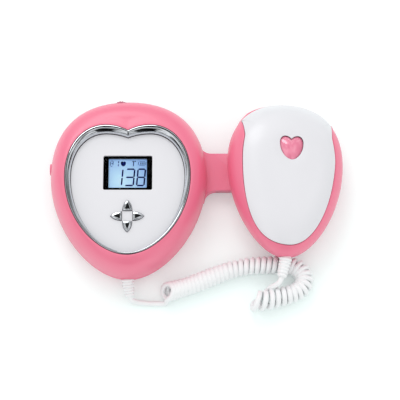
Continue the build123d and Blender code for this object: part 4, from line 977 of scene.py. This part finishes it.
# %% Heart button
BUTTON_RIM, BUTTON_RISE, BUTTON_STEPS = 16.6, 2.2, 14
button_profile = [(button_heart(1.2), 13.75), (button_heart(1.2), 14.9), (button_heart(0.0), 14.95),
                  (button_heart(0.0), BUTTON_RIM)]
for step in range(1, BUTTON_STEPS + 1):
    share = 1 - step / BUTTON_STEPS
    button_profile.append((button_heart(0.0) * max(share, 0.01), BUTTON_RIM + BUTTON_RISE * (1 - share ** 2)))
button = ring_shell(button_profile, PROBE_CENTRE, cap_first=True, cap_last=True)
bmesh.ops.create_cone(button, cap_ends=True, segments=32, radius1=2.2, radius2=2.2, depth=4.4,
                      matrix=Matrix.Translation((BUTTON_X, 4.9, 11.6)))
finish_piece("probe_heart_button_cap", button, pink_silicone, "probe_button", ["probe_heart_button"],
             place=PROBE_PLACE)

# %% [markdown]
# ## Strain reliefs
#
# Where the cord enters each casing, a soft ribbed sleeve keeps it from kinking. Its section is drawn once as a
# line of grooves and ribs that tapers to the wire, and spun round the cord's own direction.

# %% Ribbed strain reliefs
RELIEF_START, RELIEF_END, RELIEF_RIBS = 3.9, 2.9, 6


def relief(node, lead, length, body):
    """A sleeve round the start of a lead, with a flange and a neck inside the casing."""
    tip, towards = Vector(lead[0]), (Vector(lead[1]) - Vector(lead[0])).normalized()
    flange = RELIEF_START + 0.4
    profile = [(0.0, -4.2), (flange, -4.2), (flange, -3.0), (3.0, -3.0), (3.0, -1.6)]
    for i in range(RELIEF_RIBS):
        radius = RELIEF_START + (RELIEF_END - RELIEF_START) * (i + 0.5) / RELIEF_RIBS
        for along, grow in ((0.0, -0.45), (0.08, -0.1), (0.2, 0.0), (0.55, 0.0), (0.68, -0.1), (0.76, -0.45)):
            profile.append((radius + grow, (i + along) * length / RELIEF_RIBS))
    profile += [(RELIEF_END - 0.25, length - 0.1), (RELIEF_END - 0.45, length), (WIRE_DIAMETER / 2, length),
                (0.0, length)]
    place = Matrix.Translation(tip - towards * length) @ towards.to_track_quat("Z", "Y").to_matrix().to_4x4()
    finish_piece(node + "_ribbed", turned(profile, 40), white_rubber, body, [node], sharp=60,
                 place=place)


relief("relief_main", MAIN_LEAD, 10.5, "base")
relief("relief_probe", PROBE_LEAD, 11.5, "probe")

# %% [markdown]
# ## Smooth copies of the other casings
#
# The engineering model's meshes are loose triangles. A piece whose shape is right as it is gets copied, its
# triangles are merged, and it is shaded smooth up to its real edges. The small and inner pieces keep their own
# mesh and get their finish.


# %% Smooth copies and finishes for what is left
def smooth_copy(node, name, material, body):
    """A copy of a node with its triangles merged. Large faces lead the shading, so flat ones look flat."""
    bm = bmesh.new()
    bm.from_mesh(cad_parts[node].data)
    bmesh.ops.transform(bm, matrix=Matrix.Scale(1 / MM, 4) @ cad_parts[node].matrix_world, verts=bm.verts)
    piece = finish_piece(name, bm, material, body, [node], sharp=30, turn_out=False)
    piece.modifiers.new("even_shading", "WEIGHTED_NORMAL").keep_sharp = True


smooth_copy("rear_shell", "rear_shell_moulding", pink_abs, "base")
smooth_copy("probe_dock", "probe_dock_moulding", dock_abs_lightened_against_shade, "base")
smooth_copy("battery_door", "battery_door_moulding", pink_abs, "battery_door")
smooth_copy("transducer_lens", "transducer_lens_face", lens_resin, "probe")

NODE_FINISHES = {
    "volume_wheel": wheel_abs, "volume_control": black_abs, "headphone_jack": black_abs, "lcd_module": lcd_frame,
    "key_mat": silicone, "main_board": circuit_board, "speaker": paper_cone, "battery_cells": cell_jacket,
    "battery_contacts": steel, "case_screws": steel, "dock_screws": steel, "probe_board": circuit_board,
    "probe_switch": black_abs, "transducer_crystals": ceramic, "backing_block": backing, "probe_screws": steel}
for node, material in NODE_FINISHES.items():
    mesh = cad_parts[node].data
    mesh.materials.clear()
    mesh.materials.append(material)
print(len(NODE_FINISHES), "pieces keep their own mesh")

# %% [markdown]
# ## Studio
#
# A white table and a white surround, a large soft lamp over the left shoulder of the table, and a little light
# from all round. The table is a touch brighter to the camera than its lighting makes it, so it shows pure white
# and still keeps the soft shadow of the object. Its pale cyan tint is painted light: it cancels the pink light that
# the casings bounce onto it, so that its shadows look grey.

# %% Floor and lamp
TABLE_GLOW = 0.24
# The cyan tint of the table's colour is painted light that cancels the pink light bounced onto it.
floor_material, tree, shader = start_material("white_table_cyan_against_pink_bounce", "#E1EDEB", Roughness=0.9)
rays = add_node(tree, "ShaderNodeLightPath")
seen = rays.outputs["Is Camera Ray"]
for kind in ("Is Glossy Ray", "Is Transmission Ray"):
    seen = add_node(tree, "ShaderNodeMath", {0: seen, 1: rays.outputs[kind]}, operation="MAXIMUM").outputs[0]
glow = add_node(tree, "ShaderNodeMath", {0: seen, 1: TABLE_GLOW}, operation="MULTIPLY")
shader.inputs["Emission Color"].default_value = (1, 1, 1, 1)
tree.links.new(glow.outputs[0], shader.inputs["Emission Strength"])
table = bmesh.new()
bmesh.ops.create_grid(table, x_segments=1, y_segments=1, size=3.0)
bmesh.ops.translate(table, vec=(0, 0, -0.0002), verts=table.verts)
floor = to_object("studio_floor", table)
floor.data.materials.append(floor_material)

lamp_data = bpy.data.lights.new("key_lamp", "AREA")
lamp_data.shape = "DISK"
lamp_data.size = 0.7
lamp_data.energy = 3.4
lamp = bpy.data.objects.new("key_lamp", lamp_data)
lamp.location = (-0.28, 0.85, 1.10)
lamp.rotation_euler = (Vector((0.04, -0.01, 0.0)) - lamp.location).to_track_quat("-Z", "Y").to_euler()
bpy.context.scene.collection.objects.link(lamp)
print("lamp", round(lamp.location.length, 2), "m away")

# %% [markdown]
# A photographer places black flags round a chrome object, because a mirror in an all-white tent looks like grey
# paint. Here they are dark patches in the surround that only mirror rays see: one above the table, which keeps
# the window black and gives the keys their dark faces, and the others low down, which draw the dark band in the
# lobes of the trim. They take no light off the plastics.

# %% Surround
world = bpy.data.worlds.new("studio_surround")
bpy.context.scene.world = world
world.use_nodes = True
tree = world.node_tree
background = tree.nodes["Background"]
towards = add_node(tree, "ShaderNodeTexCoord").outputs["Generated"]
cloud = add_node(tree, "ShaderNodeTexNoise", {"Vector": towards, "Scale": 3.2, "Detail": 2.0})
mirror_level = add_node(tree, "ShaderNodeMapRange", {"Value": cloud.outputs["Fac"], "From Min": 0.4,
                                                     "From Max": 0.6, "To Min": 0.16, "To Max": 1.0}).outputs[0]
FLAGS = [((0.0, 0.26, 0.966), 0.17, 0.22), ((-0.036, 0.015, 0.999), 0.04, 0.06), ((0.04, -0.95, 0.31), 0.27, 0.32),
         ((0.04, -0.76, 0.65), 0.26, 0.31), ((0.04, -0.50, 0.86), 0.20, 0.25), ((0.93, 0.10, 0.35), 0.16, 0.34),
         ((-0.93, -0.25, 0.28), 0.16, 0.34)]
for direction, dark, clear in FLAGS:
    away = add_node(tree, "ShaderNodeVectorMath", {0: towards, 1: direction}, operation="DISTANCE")
    edge = add_node(tree, "ShaderNodeMapRange", {"Value": away.outputs["Value"], "From Min": dark, "From Max": clear,
                                                 "To Min": 0.03, "To Max": 1.0})
    mirror_level = add_node(tree, "ShaderNodeMath", {0: mirror_level, 1: edge.outputs[0]},
                            operation="MULTIPLY").outputs[0]
rays = add_node(tree, "ShaderNodeLightPath")
level = add_node(tree, "ShaderNodeMix", {"Factor": rays.outputs["Is Glossy Ray"], "A": 1.0, "B": mirror_level})
level = add_node(tree, "ShaderNodeMix", {"Factor": rays.outputs["Is Camera Ray"], "A": level.outputs[0], "B": 1.0})
background.inputs["Color"].default_value = (1, 1, 1, 1)
tree.links.new(level.outputs[0], background.inputs["Strength"])
print("studio ready")
